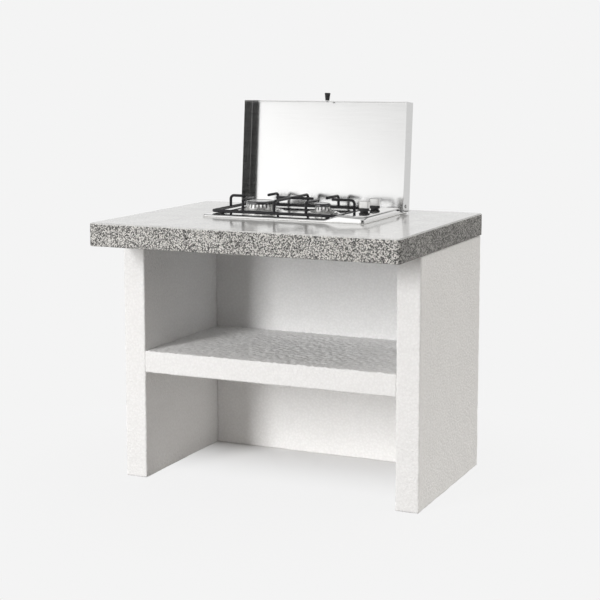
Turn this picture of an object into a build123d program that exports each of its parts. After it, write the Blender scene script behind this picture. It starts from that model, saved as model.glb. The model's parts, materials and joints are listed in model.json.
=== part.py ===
"""Masonry outdoor kitchen module with a two-burner gas hob under a hinged steel lid.

Millimetres. X to the right, Y to the back, Z up. The origin is on the floor, under the middle of the worktop.
"""
import os
from math import cos, radians, sin

from build123d import *

# Worktop slab
worktop_height = 850.0
slab_width = 1020.0
slab_depth = 780.0
slab_thickness = 72.0
slab_corner_radius = 12.0
slab_top_ease = 5.0
slab_bottom_ease = 3.0

# Precast base
side_overhang = 5.5
front_overhang = 195.0
side_panel_thickness = 75.0
back_panel_thickness = 75.0
back_panel_inset = 10.0
panel_edge_ease = 4.0
shelf_top_height = 420.0
shelf_thickness = 71.0
shelf_tongue_thickness = 40.0
shelf_tongue_stop = 60.0
housing_depth = 12.0
housing_clearance = 0.5
bed_thickness = 2.0
bed_inset = 10.0

# Pressed hob plate
hob_width = 562.0
hob_depth = 384.0
hob_rear_margin = 86.0
hob_corner_radius = 14.0
seal_thickness = 1.5
seal_width = 12.0
seal_inset = 0.5
sheet = 1.2
plate_rise = 5.0
deck_rise = 15.0
deck_width = 84.0
deck_ramp = 19.0
deck_front_ramp = 58.0
deck_front_blend = 35.0
deck_crest_rise = 2.5
deck_corner_drop = 2.5
deck_edge_radius = 3.0
deck_rear_gap = 62.0
deck_rear_ramp = 14.0
bead_half_width = 8.0

# Underpan, cut-out and clips
cutout_margin = 15.0
cutout_corner_radius = 20.0
underpan_gap = 4.0
underpan_depth = 60.0
underpan_lip = 3.0
clip_thickness = 2.5
clip_width = 24.0
clip_reach = 24.0
clip_tail = 28.0
clip_end_margin = 82.0
clip_clearance = 2.0
screw_radius = 2.0
screw_head_radius = 4.0
screw_head_height = 2.2
screw_clearance = 0.1
screw_bite = 6.0

# Burners
burner_setback = 189.0
large_burner_x = -161.5
small_burner_x = 59.5
large_crown_radius = 50.0
small_crown_radius = 26.0
large_cap_radius = 47.0
small_cap_radius = 27.0
large_hole_radius = 43.0
small_hole_radius = 20.0
large_bead_radius = 70.0
small_bead_radius = 48.0
large_bead_rise = 3.0
small_bead_rise = 5.0
large_port_count = 24
small_port_count = 14
large_port_width = 6.0
small_port_width = 4.4
port_height = 10.0
crown_height = 20.0
crown_wall = 5.0
cap_height = 10.0
cap_edge_radius = 3.5
cap_lip = 3.0
cup_wall = 4.0
cup_depth = 24.0
cup_stand = 2.5
cup_flange = 9.0
cup_flange_thickness = 3.0
cup_throat_radius = 4.0
spigot_depth = 8.0
neck_clearance = 0.3
spigot_clearance = 0.5
seat_gap = 0.3

# Wire pan support
pan_height = 57.0
frame_left_gap = 9.0
frame_deck_gap = 8.0
frame_front_gap = 56.0
frame_rear_gap = 62.0
frame_corner_radius = 14.0
frame_rod_radius = 5.0
finger_radius = 4.6
finger_bend_radius = 12.0
large_tip_gap = 5.0
small_tip_gap = 4.0
pan_foot_radius = 6.0
pan_foot_height = 2.5
pan_foot_wrap = 3.0
pan_foot_inset = 36.0

# Taps and knobs
knob_edge_margin = 60.0
knob_spacing = 91.0
knob_line_shift = 2.5
knob_push = 3.0
knob_skirt_radius = 17.0
knob_skirt_top_radius = 15.5
knob_skirt_height = 9.0
knob_skirt_wall = 2.5
knob_skirt_hollow = 3.0
knob_grip_width = 36.0
knob_grip_thickness = 13.0
knob_grip_height = 22.0
knob_grip_ease = 2.0
bezel_radius = 13.0
bezel_height = 2.5
spindle_radius = 3.0
spindle_flat = 2.0
spindle_grip_depth = 14.0
running_clearance = 0.05
tap_neck_radius = 10.0
tap_neck_height = 8.0
tap_body_radius = 12.0
tap_body_height = 30.0
tap_floor = 4.0
plug_top_radius = 7.0
plug_bottom_radius = 5.0
plug_height = 20.0
plug_socket_depth = 14.0
tap_outlet_radius = 5.0
tap_outlet_reach = 14.0

# Gas pipes
manifold_radius = 8.0
manifold_boss_radius = 7.0
manifold_boss_height = 4.0
manifold_front_end = 30.0
inlet_setback = 58.0
inlet_radius = 10.48
inlet_neck_radius = 11.5
inlet_body_radius = 12.0
inlet_collar_radius = 15.0
inlet_collar_height = 5.0
inlet_drop = 30.0
inlet_hole_clearance = 0.5
lock_nut_flats = 30.0
lock_nut_height = 8.0
feed_radius = 3.0
feed_bend_radius = 10.0
feed_drop_reach = 30.0
feed_turn_run = 60.0
jet_holder_radius = 7.0
jet_holder_height = 16.0
jet_stub_radius = 4.5
jet_stub_reach = 8.0
pipe_nut_flats = 12.0
pipe_nut_length = 8.0

# Lid and hinges
lid_open_lean = 4.8
lid_side_clear = 9.8
lid_front_clear = 6.0
lid_head_clear = 2.9
lid_rest_gap = 1.0
lid_heel = 14.0
lid_bend_radius = 3.0
hinge_setback = 53.0
hinge_rise = 18.5
pin_radius = 3.0
pin_head_radius = 6.0
pin_head_height = 2.5
bush_radius = 6.0
hinge_side_gap = 0.3
bracket_gap = 3.0
bracket_thickness = 2.5
bracket_eye_radius = 10.0
bracket_front_reach = 12.0
bracket_rear_reach = 28.0
bracket_foot_start = 2.0
bracket_foot_width = 22.0
stop_tab_length = 14.0
stop_tab_reach = 8.0
bracket_screw_pitch = 13.0
lid_knob_base_radius = 6.5
lid_knob_end_radius = 10.0
lid_knob_length = 27.0
lid_knob_ease = 1.5
lid_knob_collar_radius = 8.0
lid_knob_collar_height = 2.0
lid_knob_screw_bite = 12.0

# Levels
slab_bottom = worktop_height - slab_thickness
panel_height = slab_bottom - bed_thickness
shelf_bottom = shelf_top_height - shelf_thickness
rim_z = worktop_height + seal_thickness
plate_top = rim_z + plate_rise
plate_underside = plate_top - sheet
deck_top = plate_top + deck_rise
deck_underside = deck_top - sheet
underpan_floor = plate_underside - underpan_depth
underpan_bottom = underpan_floor - sheet
pan_top = worktop_height + pan_height
skirt_bottom = deck_top + knob_push + 2 * seat_gap
skirt_top = skirt_bottom + knob_skirt_height
grip_top = skirt_top + knob_grip_height

# Plan
slab_front = -slab_depth / 2
slab_back = slab_depth / 2
wall_outer = slab_width / 2 - side_overhang
wall_inner = wall_outer - side_panel_thickness
wall_front = slab_front + front_overhang
wall_depth = slab_back - wall_front
wall_middle_y = (wall_front + slab_back) / 2
back_rear = slab_back - back_panel_inset
back_front = back_rear - back_panel_thickness
hob_rear = slab_back - hob_rear_margin
hob_front = hob_rear - hob_depth
hob_y = (hob_front + hob_rear) / 2
hob_right = hob_width / 2
cutout_width = hob_width - 2 * cutout_margin
cutout_depth = hob_depth - 2 * cutout_margin
underpan_width = cutout_width - 2 * underpan_gap
underpan_length = cutout_depth - 2 * underpan_gap
burner_y = hob_front + burner_setback
knob_x = hob_right - knob_edge_margin
knob_middle_y = burner_y + knob_line_shift
deck_x = hob_right - deck_width
deck_end = hob_rear - deck_rear_gap

# Lid
hinge_y = hob_rear - hinge_setback
hinge_z = plate_top + hinge_rise
lid_rim = hinge_z - worktop_height - lid_rest_gap
lid_depth = max(pan_top, grip_top) + lid_head_clear + sheet - worktop_height - lid_rest_gap
lid_back = lid_depth - lid_rim
lid_reach = hinge_y - hob_front + lid_front_clear + sheet
lid_half_width = hob_right + lid_side_clear + sheet
lean = radians(lid_open_lean)
lid_plane = Plane((0, hinge_y, hinge_z), x_dir=(1, 0, 0), z_dir=(0, -cos(lean), sin(lean)))
lid_along = Axis((0, hinge_y, hinge_z), (0, sin(lean), cos(lean)))
lid_across = Axis((0, hinge_y, hinge_z), (0, -cos(lean), sin(lean)))

# Burner sets: name, place, crown, cap, plate hole
burners = (
    ("large", large_burner_x, large_crown_radius, large_cap_radius, large_hole_radius),
    ("small", small_burner_x, small_crown_radius, small_cap_radius, small_hole_radius),
)
flame_ports = {
    "large": (large_port_count, large_port_width),
    "small": (small_port_count, small_port_width),
}
beads = (
    (large_burner_x, large_bead_radius, large_bead_rise),
    (small_burner_x, small_bead_radius, small_bead_rise),
)
taps = (("front", knob_middle_y - knob_spacing / 2), ("rear", knob_middle_y + knob_spacing / 2))
sides = (("left", -1), ("right", 1))

os.makedirs("parts", exist_ok=True)


def save(builder, name):
    builder.part.label = name
    export_step(builder.part, f"parts/{name}.step")


def upright(x, y):
    return Axis((x, y, 0), (0, 0, 1))


# Worktop slab with eased edges and the hob cut-out
with BuildPart() as worktop_slab:
    with BuildSketch(Plane.XY.offset(slab_bottom)):
        RectangleRounded(slab_width, slab_depth, slab_corner_radius)
    extrude(amount=slab_thickness)
    fillet(worktop_slab.faces().sort_by(Axis.Z)[-1].edges(), radius=slab_top_ease)
    fillet(worktop_slab.faces().sort_by(Axis.Z)[0].edges(), radius=slab_bottom_ease)
    with BuildSketch(Plane.XY.offset(slab_bottom)):
        with Locations((0, hob_y)):
            RectangleRounded(cutout_width, cutout_depth, cutout_corner_radius)
    extrude(amount=slab_thickness, mode=Mode.SUBTRACT)
save(worktop_slab, "worktop_slab")

# Side panels, each with a housing for the back panel and a stopped one for the shelf's tongue
for name, side in sides:
    with BuildPart() as side_panel:
        with BuildSketch():
            with Locations((side * (wall_inner + side_panel_thickness / 2), wall_middle_y)):
                Rectangle(side_panel_thickness, wall_depth)
        extrude(amount=panel_height)
        fillet(side_panel.edges(), radius=panel_edge_ease)
        housing_x = side * (wall_inner + housing_depth / 2)
        with BuildSketch():
            with Locations((housing_x, (back_front + back_rear) / 2)):
                Rectangle(housing_depth + 2 * housing_clearance, back_panel_thickness + 2 * housing_clearance)
        extrude(amount=panel_height, mode=Mode.SUBTRACT)
        tongue_length = back_front - wall_front - shelf_tongue_stop
        with BuildSketch(Plane.XY.offset(shelf_bottom)):
            with Locations((housing_x, back_front - tongue_length / 2)):
                Rectangle(housing_depth + 2 * housing_clearance, tongue_length + 2 * housing_clearance)
        extrude(amount=shelf_tongue_thickness + housing_clearance, mode=Mode.SUBTRACT)
    save(side_panel, f"{name}_side_panel")

# Back panel, its ends housed in the sides
with BuildPart() as back_panel:
    with BuildSketch():
        with Locations((0, (back_front + back_rear) / 2)):
            Rectangle(2 * (wall_inner + housing_depth), back_panel_thickness)
    extrude(amount=panel_height)
save(back_panel, "back_panel")

# Shelf with a tongue at each end
with BuildPart() as shelf_slab:
    with BuildSketch(Plane.XY.offset(shelf_bottom)):
        with Locations((0, (wall_front + back_front) / 2)):
            Rectangle(2 * (wall_inner - housing_clearance), back_front - wall_front)
    extrude(amount=shelf_thickness)
    front_edges = shelf_slab.faces().sort_by(Axis.Y)[0].edges().filter_by(Axis.X)
    fillet(front_edges, radius=panel_edge_ease)
    with BuildSketch(Plane.XY.offset(shelf_bottom)):
        with Locations((0, back_front - tongue_length / 2)):
            Rectangle(2 * (wall_inner + housing_depth), tongue_length)
    extrude(amount=shelf_tongue_thickness)
save(shelf_slab, "shelf_slab")

# Mortar beds between the panels and the worktop
with BuildPart() as mortar_beds:
    with BuildSketch(Plane.XY.offset(panel_height)):
        for name, side in sides:
            with Locations((side * (wall_inner + side_panel_thickness / 2), wall_middle_y)):
                Rectangle(side_panel_thickness - 2 * bed_inset, wall_depth - 2 * bed_inset)
        with Locations((0, (back_front + back_rear) / 2)):
            Rectangle(2 * (wall_inner - bed_inset), back_panel_thickness - 2 * bed_inset)
    extrude(amount=bed_thickness)
save(mortar_beds, "mortar_beds")

# Sealing strip under the hob's rim
with BuildPart() as hob_seal:
    with BuildSketch(Plane.XY.offset(worktop_height)):
        with Locations((0, hob_y)):
            RectangleRounded(hob_width - 2 * seal_inset, hob_depth - 2 * seal_inset, hob_corner_radius)
            RectangleRounded(
                hob_width - 2 * (seal_inset + seal_width),
                hob_depth - 2 * (seal_inset + seal_width),
                hob_corner_radius,
                mode=Mode.SUBTRACT,
            )
    extrude(amount=seal_thickness)
save(hob_seal, "hob_seal")


def deck_section(y, ramp, crest_z, edge_z, inset):
    """Section of the raised control deck: a wave up from the plate, then the deck and its rounded edge."""
    start = (deck_x - ramp + inset, plate_top - inset)
    crest = (deck_x + inset / 2, crest_z - inset)
    edge_x = hob_right - inset
    turn = deck_edge_radius
    shoulder = (edge_x - turn, edge_z - inset)
    bend = (edge_x - turn * (1 - sin(radians(45))), edge_z - inset - turn * (1 - cos(radians(45))))
    fall = (edge_x, edge_z - inset - turn)
    with BuildSketch(Plane.XZ.offset(-y)) as section:
        with BuildLine():
            Spline(start, crest, tangents=((1, 0), (shoulder[0] - crest[0], shoulder[1] - crest[1])))
            Line(crest, shoulder)
            ThreePointArc(shoulder, bend, fall)
            Polyline(fall, (edge_x, rim_z), (start[0], rim_z), start)
        make_face()
    return section.sketch.face()


def hob_pressing(inset):
    """The pressed form of the hob, taken in by inset: the plate, its control deck and the burner beads."""
    low_edge = plate_top + deck_edge_radius
    front_crest = deck_top + deck_crest_rise
    front_corner = deck_top - deck_corner_drop
    deck = [
        deck_section(hob_front + inset, deck_front_ramp, front_crest, front_corner, inset),
        deck_section(hob_front + deck_front_blend, deck_ramp, deck_top, deck_top, inset),
        deck_section(deck_end - deck_rear_ramp - inset / 2, deck_ramp, deck_top, deck_top, inset),
        deck_section(deck_end - inset, deck_ramp, low_edge, low_edge, inset),
    ]
    with BuildPart() as form:
        loft(sections=deck, ruled=True)
        with BuildSketch(Plane.XY.offset(rim_z)):
            with Locations((0, hob_y)):
                Rectangle(hob_width - 2 * inset, hob_depth - 2 * inset)
        extrude(amount=plate_rise - inset)
        for x, radius, rise in beads:
            foot_z = plate_top - inset
            half = bead_half_width - inset
            with BuildSketch(Plane.XZ.offset(-burner_y)):
                with BuildLine():
                    ThreePointArc(
                        (x + radius - half, foot_z), (x + radius, foot_z + rise), (x + radius + half, foot_z)
                    )
                    Polyline(
                        (x + radius + half, foot_z),
                        (x + radius + half, rim_z),
                        (x + radius - half, rim_z),
                        (x + radius - half, foot_z),
                    )
                make_face()
            revolve(axis=upright(x, burner_y))
        with BuildSketch(Plane.XY.offset(rim_z)):
            with Locations((0, hob_y)):
                RectangleRounded(hob_width - 2 * inset, hob_depth - 2 * inset, hob_corner_radius - inset)
        extrude(amount=plate_rise + deck_rise + deck_crest_rise, mode=Mode.INTERSECT)
    return form.part


pressed_outside = hob_pressing(0)
pressed_inside = hob_pressing(sheet)
bracket_screw_x = hob_right + bracket_gap - bracket_foot_width / 2
bracket_screw_y = hinge_y + (bracket_foot_start + bracket_rear_reach) / 2
bracket_screw_spots = [
    (side * bracket_screw_x, bracket_screw_y + step * bracket_screw_pitch / 2)
    for name, side in sides
    for step in (-1, 1)
]

# Pressed hob plate, open underneath
with BuildPart() as hob_plate:
    add(pressed_outside)
    add(pressed_inside, mode=Mode.SUBTRACT)
    with BuildSketch(Plane.XY.offset(rim_z)):
        for name, x, crown, cap, hole in burners:
            with Locations((x, burner_y)):
                Circle(hole)
        with Locations(*[(knob_x, y) for name, y in taps]):
            Circle(tap_neck_radius - sheet)
        with Locations(*bracket_screw_spots):
            Circle(screw_radius + screw_clearance)
    extrude(amount=plate_rise + deck_rise, mode=Mode.SUBTRACT)
save(hob_plate, "hob_plate")

inlet_y = hob_rear - inlet_setback
clip_ends = (hob_front + clip_end_margin, hob_rear - clip_end_margin)
clip_spots = [(side, y) for name, side in sides for y in clip_ends]
clip_screw_x = underpan_width / 2 - clip_tail / 2

# Underpan, a folded tray hung under the plate
with BuildPart() as hob_underpan:
    with BuildSketch(Plane.XY.offset(underpan_bottom)):
        with Locations((0, hob_y)):
            RectangleRounded(underpan_width, underpan_length, cutout_corner_radius - underpan_gap)
    extrude(amount=underpan_depth + sheet)
    with BuildSketch(Plane.XY.offset(plate_underside - sheet)):
        with Locations((0, hob_y)):
            RectangleRounded(
                underpan_width + 2 * underpan_lip, underpan_length + 2 * underpan_lip, cutout_corner_radius
            )
    extrude(amount=sheet)
    with BuildSketch(Plane.XY.offset(underpan_floor)):
        with Locations((0, hob_y)):
            RectangleRounded(
                underpan_width - 2 * sheet,
                underpan_length - 2 * sheet,
                cutout_corner_radius - underpan_gap - sheet,
            )
    extrude(amount=underpan_depth, mode=Mode.SUBTRACT)
    with BuildSketch(Plane.XY.offset(underpan_bottom)):
        with Locations((knob_x, inlet_y)):
            Circle(inlet_neck_radius + inlet_hole_clearance)
        with Locations(*[(side * clip_screw_x, y) for side, y in clip_spots]):
            Circle(screw_radius + screw_clearance)
    extrude(amount=sheet, mode=Mode.SUBTRACT)
save(hob_underpan, "hob_underpan")

# Clips that draw the underpan down against the slab's underside
with BuildPart() as hold_down_clips:
    clip_web = cutout_width / 2 - clip_clearance
    clip_top = underpan_bottom
    for side, y in clip_spots:
        with BuildSketch(Plane.XZ.offset(-(y - clip_width / 2))):
            with BuildLine():
                Polyline(
                    (side * (underpan_width / 2 - clip_tail), clip_top),
                    (side * clip_web, clip_top),
                    (side * clip_web, slab_bottom),
                    (side * (clip_web + clip_reach), slab_bottom),
                    (side * (clip_web + clip_reach), slab_bottom - clip_thickness),
                    (side * (clip_web - clip_thickness), slab_bottom - clip_thickness),
                    (side * (clip_web - clip_thickness), clip_top - clip_thickness),
                    (side * (underpan_width / 2 - clip_tail), clip_top - clip_thickness),
                    close=True,
                )
            make_face()
        extrude(amount=-clip_width)
    with BuildSketch(Plane.XY.offset(clip_top - clip_thickness)):
        with Locations(*[(side * clip_screw_x, y) for side, y in clip_spots]):
            Circle(screw_radius + screw_clearance)
    extrude(amount=clip_thickness, mode=Mode.SUBTRACT)
save(hold_down_clips, "hold_down_clips")

# Screws of the clips, heads downwards
with BuildPart() as clip_screws:
    with BuildSketch(Plane.XY.offset(clip_top - clip_thickness)):
        with Locations(*[(side * clip_screw_x, y) for side, y in clip_spots]):
            Circle(screw_radius)
    extrude(amount=clip_thickness + screw_bite)
    with BuildSketch(Plane.XY.offset(clip_top - clip_thickness - screw_head_height)):
        with Locations(*[(side * clip_screw_x, y) for side, y in clip_spots]):
            Circle(screw_head_radius)
    extrude(amount=screw_head_height)
save(clip_screws, "clip_screws")

cup_top = plate_top + cup_stand
cup_bottom = plate_underside - cup_depth
crown_bottom = cup_top + seat_gap
crown_top = crown_bottom + crown_height
cap_bottom = crown_top + seat_gap
cap_top = cap_bottom + cap_height

for name, x, crown, cap, hole in burners:
    port_count, port_width = flame_ports[name]
    neck = hole - neck_clearance
    cup_bore = neck - cup_wall
    spigot = cup_bore - spigot_clearance
    crown_bore = spigot - crown_wall
    flange_z = plate_underside - cup_flange_thickness

    # Burner cup, hung from the plate by its flange
    with BuildPart() as burner_cup:
        with BuildSketch(Plane.XZ.offset(-burner_y)):
            with BuildLine():
                Polyline(
                    (x + cup_throat_radius, cup_bottom),
                    (x + neck, cup_bottom),
                    (x + neck, flange_z),
                    (x + hole + cup_flange, flange_z),
                    (x + hole + cup_flange, plate_underside),
                    (x + neck, plate_underside),
                    (x + neck, cup_top),
                    (x + cup_bore, cup_top),
                    (x + cup_bore, cup_bottom + cup_wall),
                    (x + cup_throat_radius, cup_bottom + cup_wall),
                    close=True,
                )
            make_face()
        revolve(axis=upright(x, burner_y))
    save(burner_cup, f"{name}_burner_cup")

    # Crown with its ring of flame ports and a spigot down into the cup
    with BuildPart() as burner_crown:
        with BuildSketch(Plane.XZ.offset(-burner_y)):
            with BuildLine():
                Polyline(
                    (x + crown_bore, crown_bottom - spigot_depth),
                    (x + spigot, crown_bottom - spigot_depth),
                    (x + spigot, crown_bottom),
                    (x + crown - crown_wall / 2, crown_bottom),
                    (x + crown, crown_bottom + crown_wall / 2),
                    (x + crown, crown_top - port_height),
                    (x + crown - crown_wall / 2, crown_top),
                    (x + crown_bore, crown_top),
                    close=True,
                )
            make_face()
        revolve(axis=upright(x, burner_y))
        port_reach = crown - crown_bore + crown_wall
        with BuildSketch(Plane.XY.offset(crown_top - port_height)):
            with Locations((x, burner_y)):
                with PolarLocations(crown_bore + port_reach / 2 - crown_wall / 2, port_count):
                    Rectangle(port_reach, port_width)
        extrude(amount=port_height, mode=Mode.SUBTRACT)
    save(burner_crown, f"{name}_burner_crown")

    # Cap with a rounded edge and a lip inside the crown
    with BuildPart() as burner_cap:
        lip = crown_bore - spigot_clearance
        with BuildSketch(Plane.XZ.offset(-burner_y)):
            with BuildLine():
                shoulder = (x + cap - cap_edge_radius, cap_top)
                rim = (x + cap, cap_top - cap_edge_radius)
                Polyline(shoulder, (x, cap_top), (x, cap_bottom - cap_lip))
                Polyline(
                    (x, cap_bottom - cap_lip),
                    (x + lip, cap_bottom - cap_lip),
                    (x + lip, cap_bottom),
                    (x + cap, cap_bottom),
                    rim,
                )
                RadiusArc(rim, shoulder, -cap_edge_radius)
            make_face()
        revolve(axis=upright(x, burner_y))
    save(burner_cap, f"{name}_burner_cap")

    # Jet holder under the cup, with a stub for its feed pipe
    with BuildPart() as jet_holder:
        with BuildSketch(Plane.XY.offset(cup_bottom - jet_holder_height)):
            with Locations((x, burner_y)):
                Circle(jet_holder_radius)
        extrude(amount=jet_holder_height)
        with BuildSketch(Plane.YZ.offset(x)):
            with Locations((burner_y, cup_bottom - jet_holder_height / 2)):
                Circle(jet_stub_radius)
        extrude(amount=jet_holder_radius + jet_stub_reach)
    save(jet_holder, f"{name}_jet_holder")

frame_left = -hob_right + frame_left_gap
frame_right = deck_x - deck_ramp - frame_deck_gap
frame_front = hob_front + frame_front_gap
frame_back = hob_rear - frame_rear_gap
frame_z = plate_top + pan_foot_height + frame_rod_radius
finger_z = pan_top - finger_radius
middle_x = (large_burner_x + small_burner_x) / 2
large_tip = large_crown_radius + large_tip_gap + finger_radius
small_tip = small_cap_radius + small_tip_gap + finger_radius


def bent_rod(points, radius):
    """A bent round rod along the points."""
    with BuildPart() as rod:
        with BuildLine() as route:
            FilletPolyline(*points, radius=finger_bend_radius)
        with BuildSketch(Plane(origin=route.line @ 0, z_dir=route.line % 0)):
            Circle(radius)
        sweep(path=route.line)
    return rod.part


fingers = [
    [(x, y, frame_z), (x, y, finger_z), (x, burner_y + tip * turn, finger_z)]
    for x, tip in ((large_burner_x, large_tip), (small_burner_x, small_tip))
    for y, turn in ((frame_front, -1), (frame_back, 1))
]
fingers += [
    [(rail_x, burner_y, frame_z), (rail_x, burner_y, finger_z), (tip_x, burner_y, finger_z)]
    for rail_x, tip_x in (
        (frame_left, large_burner_x - large_tip),
        (frame_right, small_burner_x + small_tip),
    )
]
bridge = [
    (middle_x, frame_front, frame_z),
    (middle_x, frame_front, finger_z),
    (middle_x, frame_back, finger_z),
    (middle_x, frame_back, frame_z),
]
bent_rods = [bent_rod(points, finger_radius) for points in (*fingers, bridge)]
cross_ends = (large_burner_x + large_tip, small_burner_x - small_tip)

# Pan support: one welded wire grid with a raised bridge, a cross wire and bent fingers
with BuildPart() as pan_support:
    with BuildLine(Plane.XY.offset(frame_z)) as frame_route:
        FilletPolyline(
            (frame_right, frame_front),
            (frame_right, frame_back),
            (frame_left, frame_back),
            (frame_left, frame_front),
            close=True,
            radius=frame_corner_radius,
        )
    with BuildSketch(Plane(origin=frame_route.line @ 0, z_dir=frame_route.line % 0)):
        Circle(frame_rod_radius)
    sweep(path=frame_route.line)
    add(bent_rods)
    with Locations(*[points[-1] for points in fingers]):
        Sphere(finger_radius)
    with BuildSketch(Plane.YZ.offset(cross_ends[0])):
        with Locations((burner_y, finger_z)):
            Circle(finger_radius)
    extrude(amount=cross_ends[1] - cross_ends[0])
    with Locations(*[(x, burner_y, finger_z) for x in cross_ends]):
        Sphere(finger_radius)
save(pan_support, "pan_support")

# Rubber feet, saddled on the grid's front and back rails
with BuildPart() as pan_support_feet:
    foot_spots = [
        (x, y)
        for x in (frame_left + pan_foot_inset, frame_right - pan_foot_inset)
        for y in (frame_front, frame_back)
    ]
    with BuildSketch(Plane.XY.offset(plate_top + seat_gap)):
        with Locations(*foot_spots):
            Circle(pan_foot_radius)
    extrude(amount=pan_foot_height + pan_foot_wrap)
    for y in (frame_front, frame_back):
        with BuildSketch(Plane.YZ.offset(frame_left)):
            with Locations((y, frame_z)):
                Circle(frame_rod_radius)
        extrude(amount=frame_right - frame_left, mode=Mode.SUBTRACT)
save(pan_support_feet, "pan_support_feet")

tap_top = deck_underside
tap_bottom = tap_top - tap_neck_height - tap_body_height
plug_bottom = tap_bottom + tap_floor
plug_top = plug_bottom + plug_height
outlet_z = plug_bottom + plug_height / 2
outlet_x = knob_x - tap_body_radius - tap_outlet_reach
spindle_bottom = plug_top - plug_socket_depth + knob_push + 2 * seat_gap
spindle_top = skirt_top + spindle_grip_depth
bezel_bore = spindle_radius + 2 * seat_gap


def spindle_section(gap, y):
    """The spindle's round section with its driving flat."""
    with Locations((knob_x, y)):
        Circle(spindle_radius + gap)
    reach = 2 * (spindle_radius + gap)
    with Locations((knob_x + spindle_flat + gap + reach / 2, y)):
        Rectangle(reach, reach, mode=Mode.SUBTRACT)


for name, y in taps:
    # Tap body with a tapered seat, a side outlet and a neck up to the deck
    with BuildPart() as tap_body:
        with BuildSketch(Plane.XZ.offset(-y)):
            with BuildLine():
                Polyline(
                    (knob_x, tap_bottom),
                    (knob_x + tap_body_radius, tap_bottom),
                    (knob_x + tap_body_radius, tap_top - tap_neck_height),
                    (knob_x + tap_neck_radius, tap_top - tap_neck_height),
                    (knob_x + tap_neck_radius, tap_top),
                    (knob_x + plug_top_radius + running_clearance, tap_top),
                    (knob_x + plug_top_radius + running_clearance, plug_top),
                    (knob_x + plug_bottom_radius + running_clearance, plug_bottom),
                    (knob_x, plug_bottom),
                    close=True,
                )
            make_face()
        revolve(axis=upright(knob_x, y))
        with BuildSketch(Plane.YZ.offset(outlet_x)):
            with Locations((y, outlet_z)):
                Circle(tap_outlet_radius)
        extrude(amount=tap_outlet_reach + tap_body_radius - plug_top_radius - running_clearance - sheet)
    save(tap_body, f"{name}_tap_body")

    # Tapered tap plug, with a socket for the spindle
    with BuildPart() as tap_plug:
        with BuildSketch(Plane.XZ.offset(-y)):
            with BuildLine():
                Polyline(
                    (knob_x, plug_bottom + running_clearance),
                    (knob_x + plug_bottom_radius, plug_bottom + running_clearance),
                    (knob_x + plug_top_radius, plug_top + running_clearance),
                    (knob_x, plug_top + running_clearance),
                    close=True,
                )
            make_face()
        revolve(axis=upright(knob_x, y))
        with BuildSketch(Plane.XY.offset(plug_top + running_clearance)):
            spindle_section(running_clearance, y)
        extrude(amount=-plug_socket_depth, mode=Mode.SUBTRACT)
    save(tap_plug, f"{name}_tap_plug")

    # Spindle, sliding in the plug and driving it by its flat
    with BuildPart() as spindle:
        with BuildSketch(Plane.XY.offset(spindle_bottom)):
            spindle_section(0, y)
        extrude(amount=spindle_top - spindle_bottom)
    save(spindle, f"{name}_spindle")

    # Bezel on the deck, hidden in the knob's skirt
    with BuildPart() as knob_bezel:
        with BuildSketch(Plane.XY.offset(deck_top)):
            with Locations((knob_x, y)):
                Circle(bezel_radius)
                Circle(bezel_bore, mode=Mode.SUBTRACT)
        extrude(amount=bezel_height)
    save(knob_bezel, f"{name}_knob_bezel")

    # Round skirt of the knob, hollow below
    with BuildPart() as knob_skirt:
        with BuildSketch(Plane.XY.offset(skirt_bottom)):
            with Locations((knob_x, y)):
                Circle(knob_skirt_radius)
        with BuildSketch(Plane.XY.offset(skirt_top)):
            with Locations((knob_x, y)):
                Circle(knob_skirt_top_radius)
        loft()
        with BuildSketch(Plane.XY.offset(skirt_bottom)):
            with Locations((knob_x, y)):
                Circle(knob_skirt_radius - knob_skirt_wall)
        extrude(amount=knob_skirt_hollow, mode=Mode.SUBTRACT)
        with BuildSketch(Plane.XY.offset(skirt_bottom)):
            spindle_section(running_clearance, y)
        extrude(amount=knob_skirt_height, mode=Mode.SUBTRACT)
    save(knob_skirt, f"{name}_knob_skirt")

    # Bar grip with round ends, on the skirt
    with BuildPart() as knob_grip:
        with BuildSketch(Plane.XY.offset(skirt_top)):
            with Locations((knob_x, y)):
                SlotOverall(knob_grip_width, knob_grip_thickness)
        extrude(amount=knob_grip_height)
        fillet(knob_grip.faces().sort_by(Axis.Z)[-1].edges(), radius=knob_grip_ease)
        with BuildSketch(Plane.XY.offset(skirt_top)):
            spindle_section(running_clearance, y)
        extrude(amount=spindle_grip_depth + running_clearance, mode=Mode.SUBTRACT)
    save(knob_grip, f"{name}_knob_grip")

manifold_z = tap_bottom - manifold_boss_height - manifold_radius
manifold_front = hob_front + manifold_front_end
manifold_rear = inlet_y - inlet_body_radius - pipe_nut_length

# Manifold pipe, with a flat boss under each tap
with BuildPart() as gas_manifold:
    with BuildSketch(Plane.XZ.offset(-manifold_front)):
        with Locations((knob_x, manifold_z)):
            Circle(manifold_radius)
    extrude(amount=manifold_front - manifold_rear)
    with BuildSketch(Plane.XY.offset(manifold_z)):
        with Locations(*[(knob_x, y) for name, y in taps]):
            Circle(manifold_boss_radius)
    extrude(amount=tap_bottom - manifold_z)
save(gas_manifold, "gas_manifold")

inlet_bottom = underpan_bottom - inlet_drop

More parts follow.
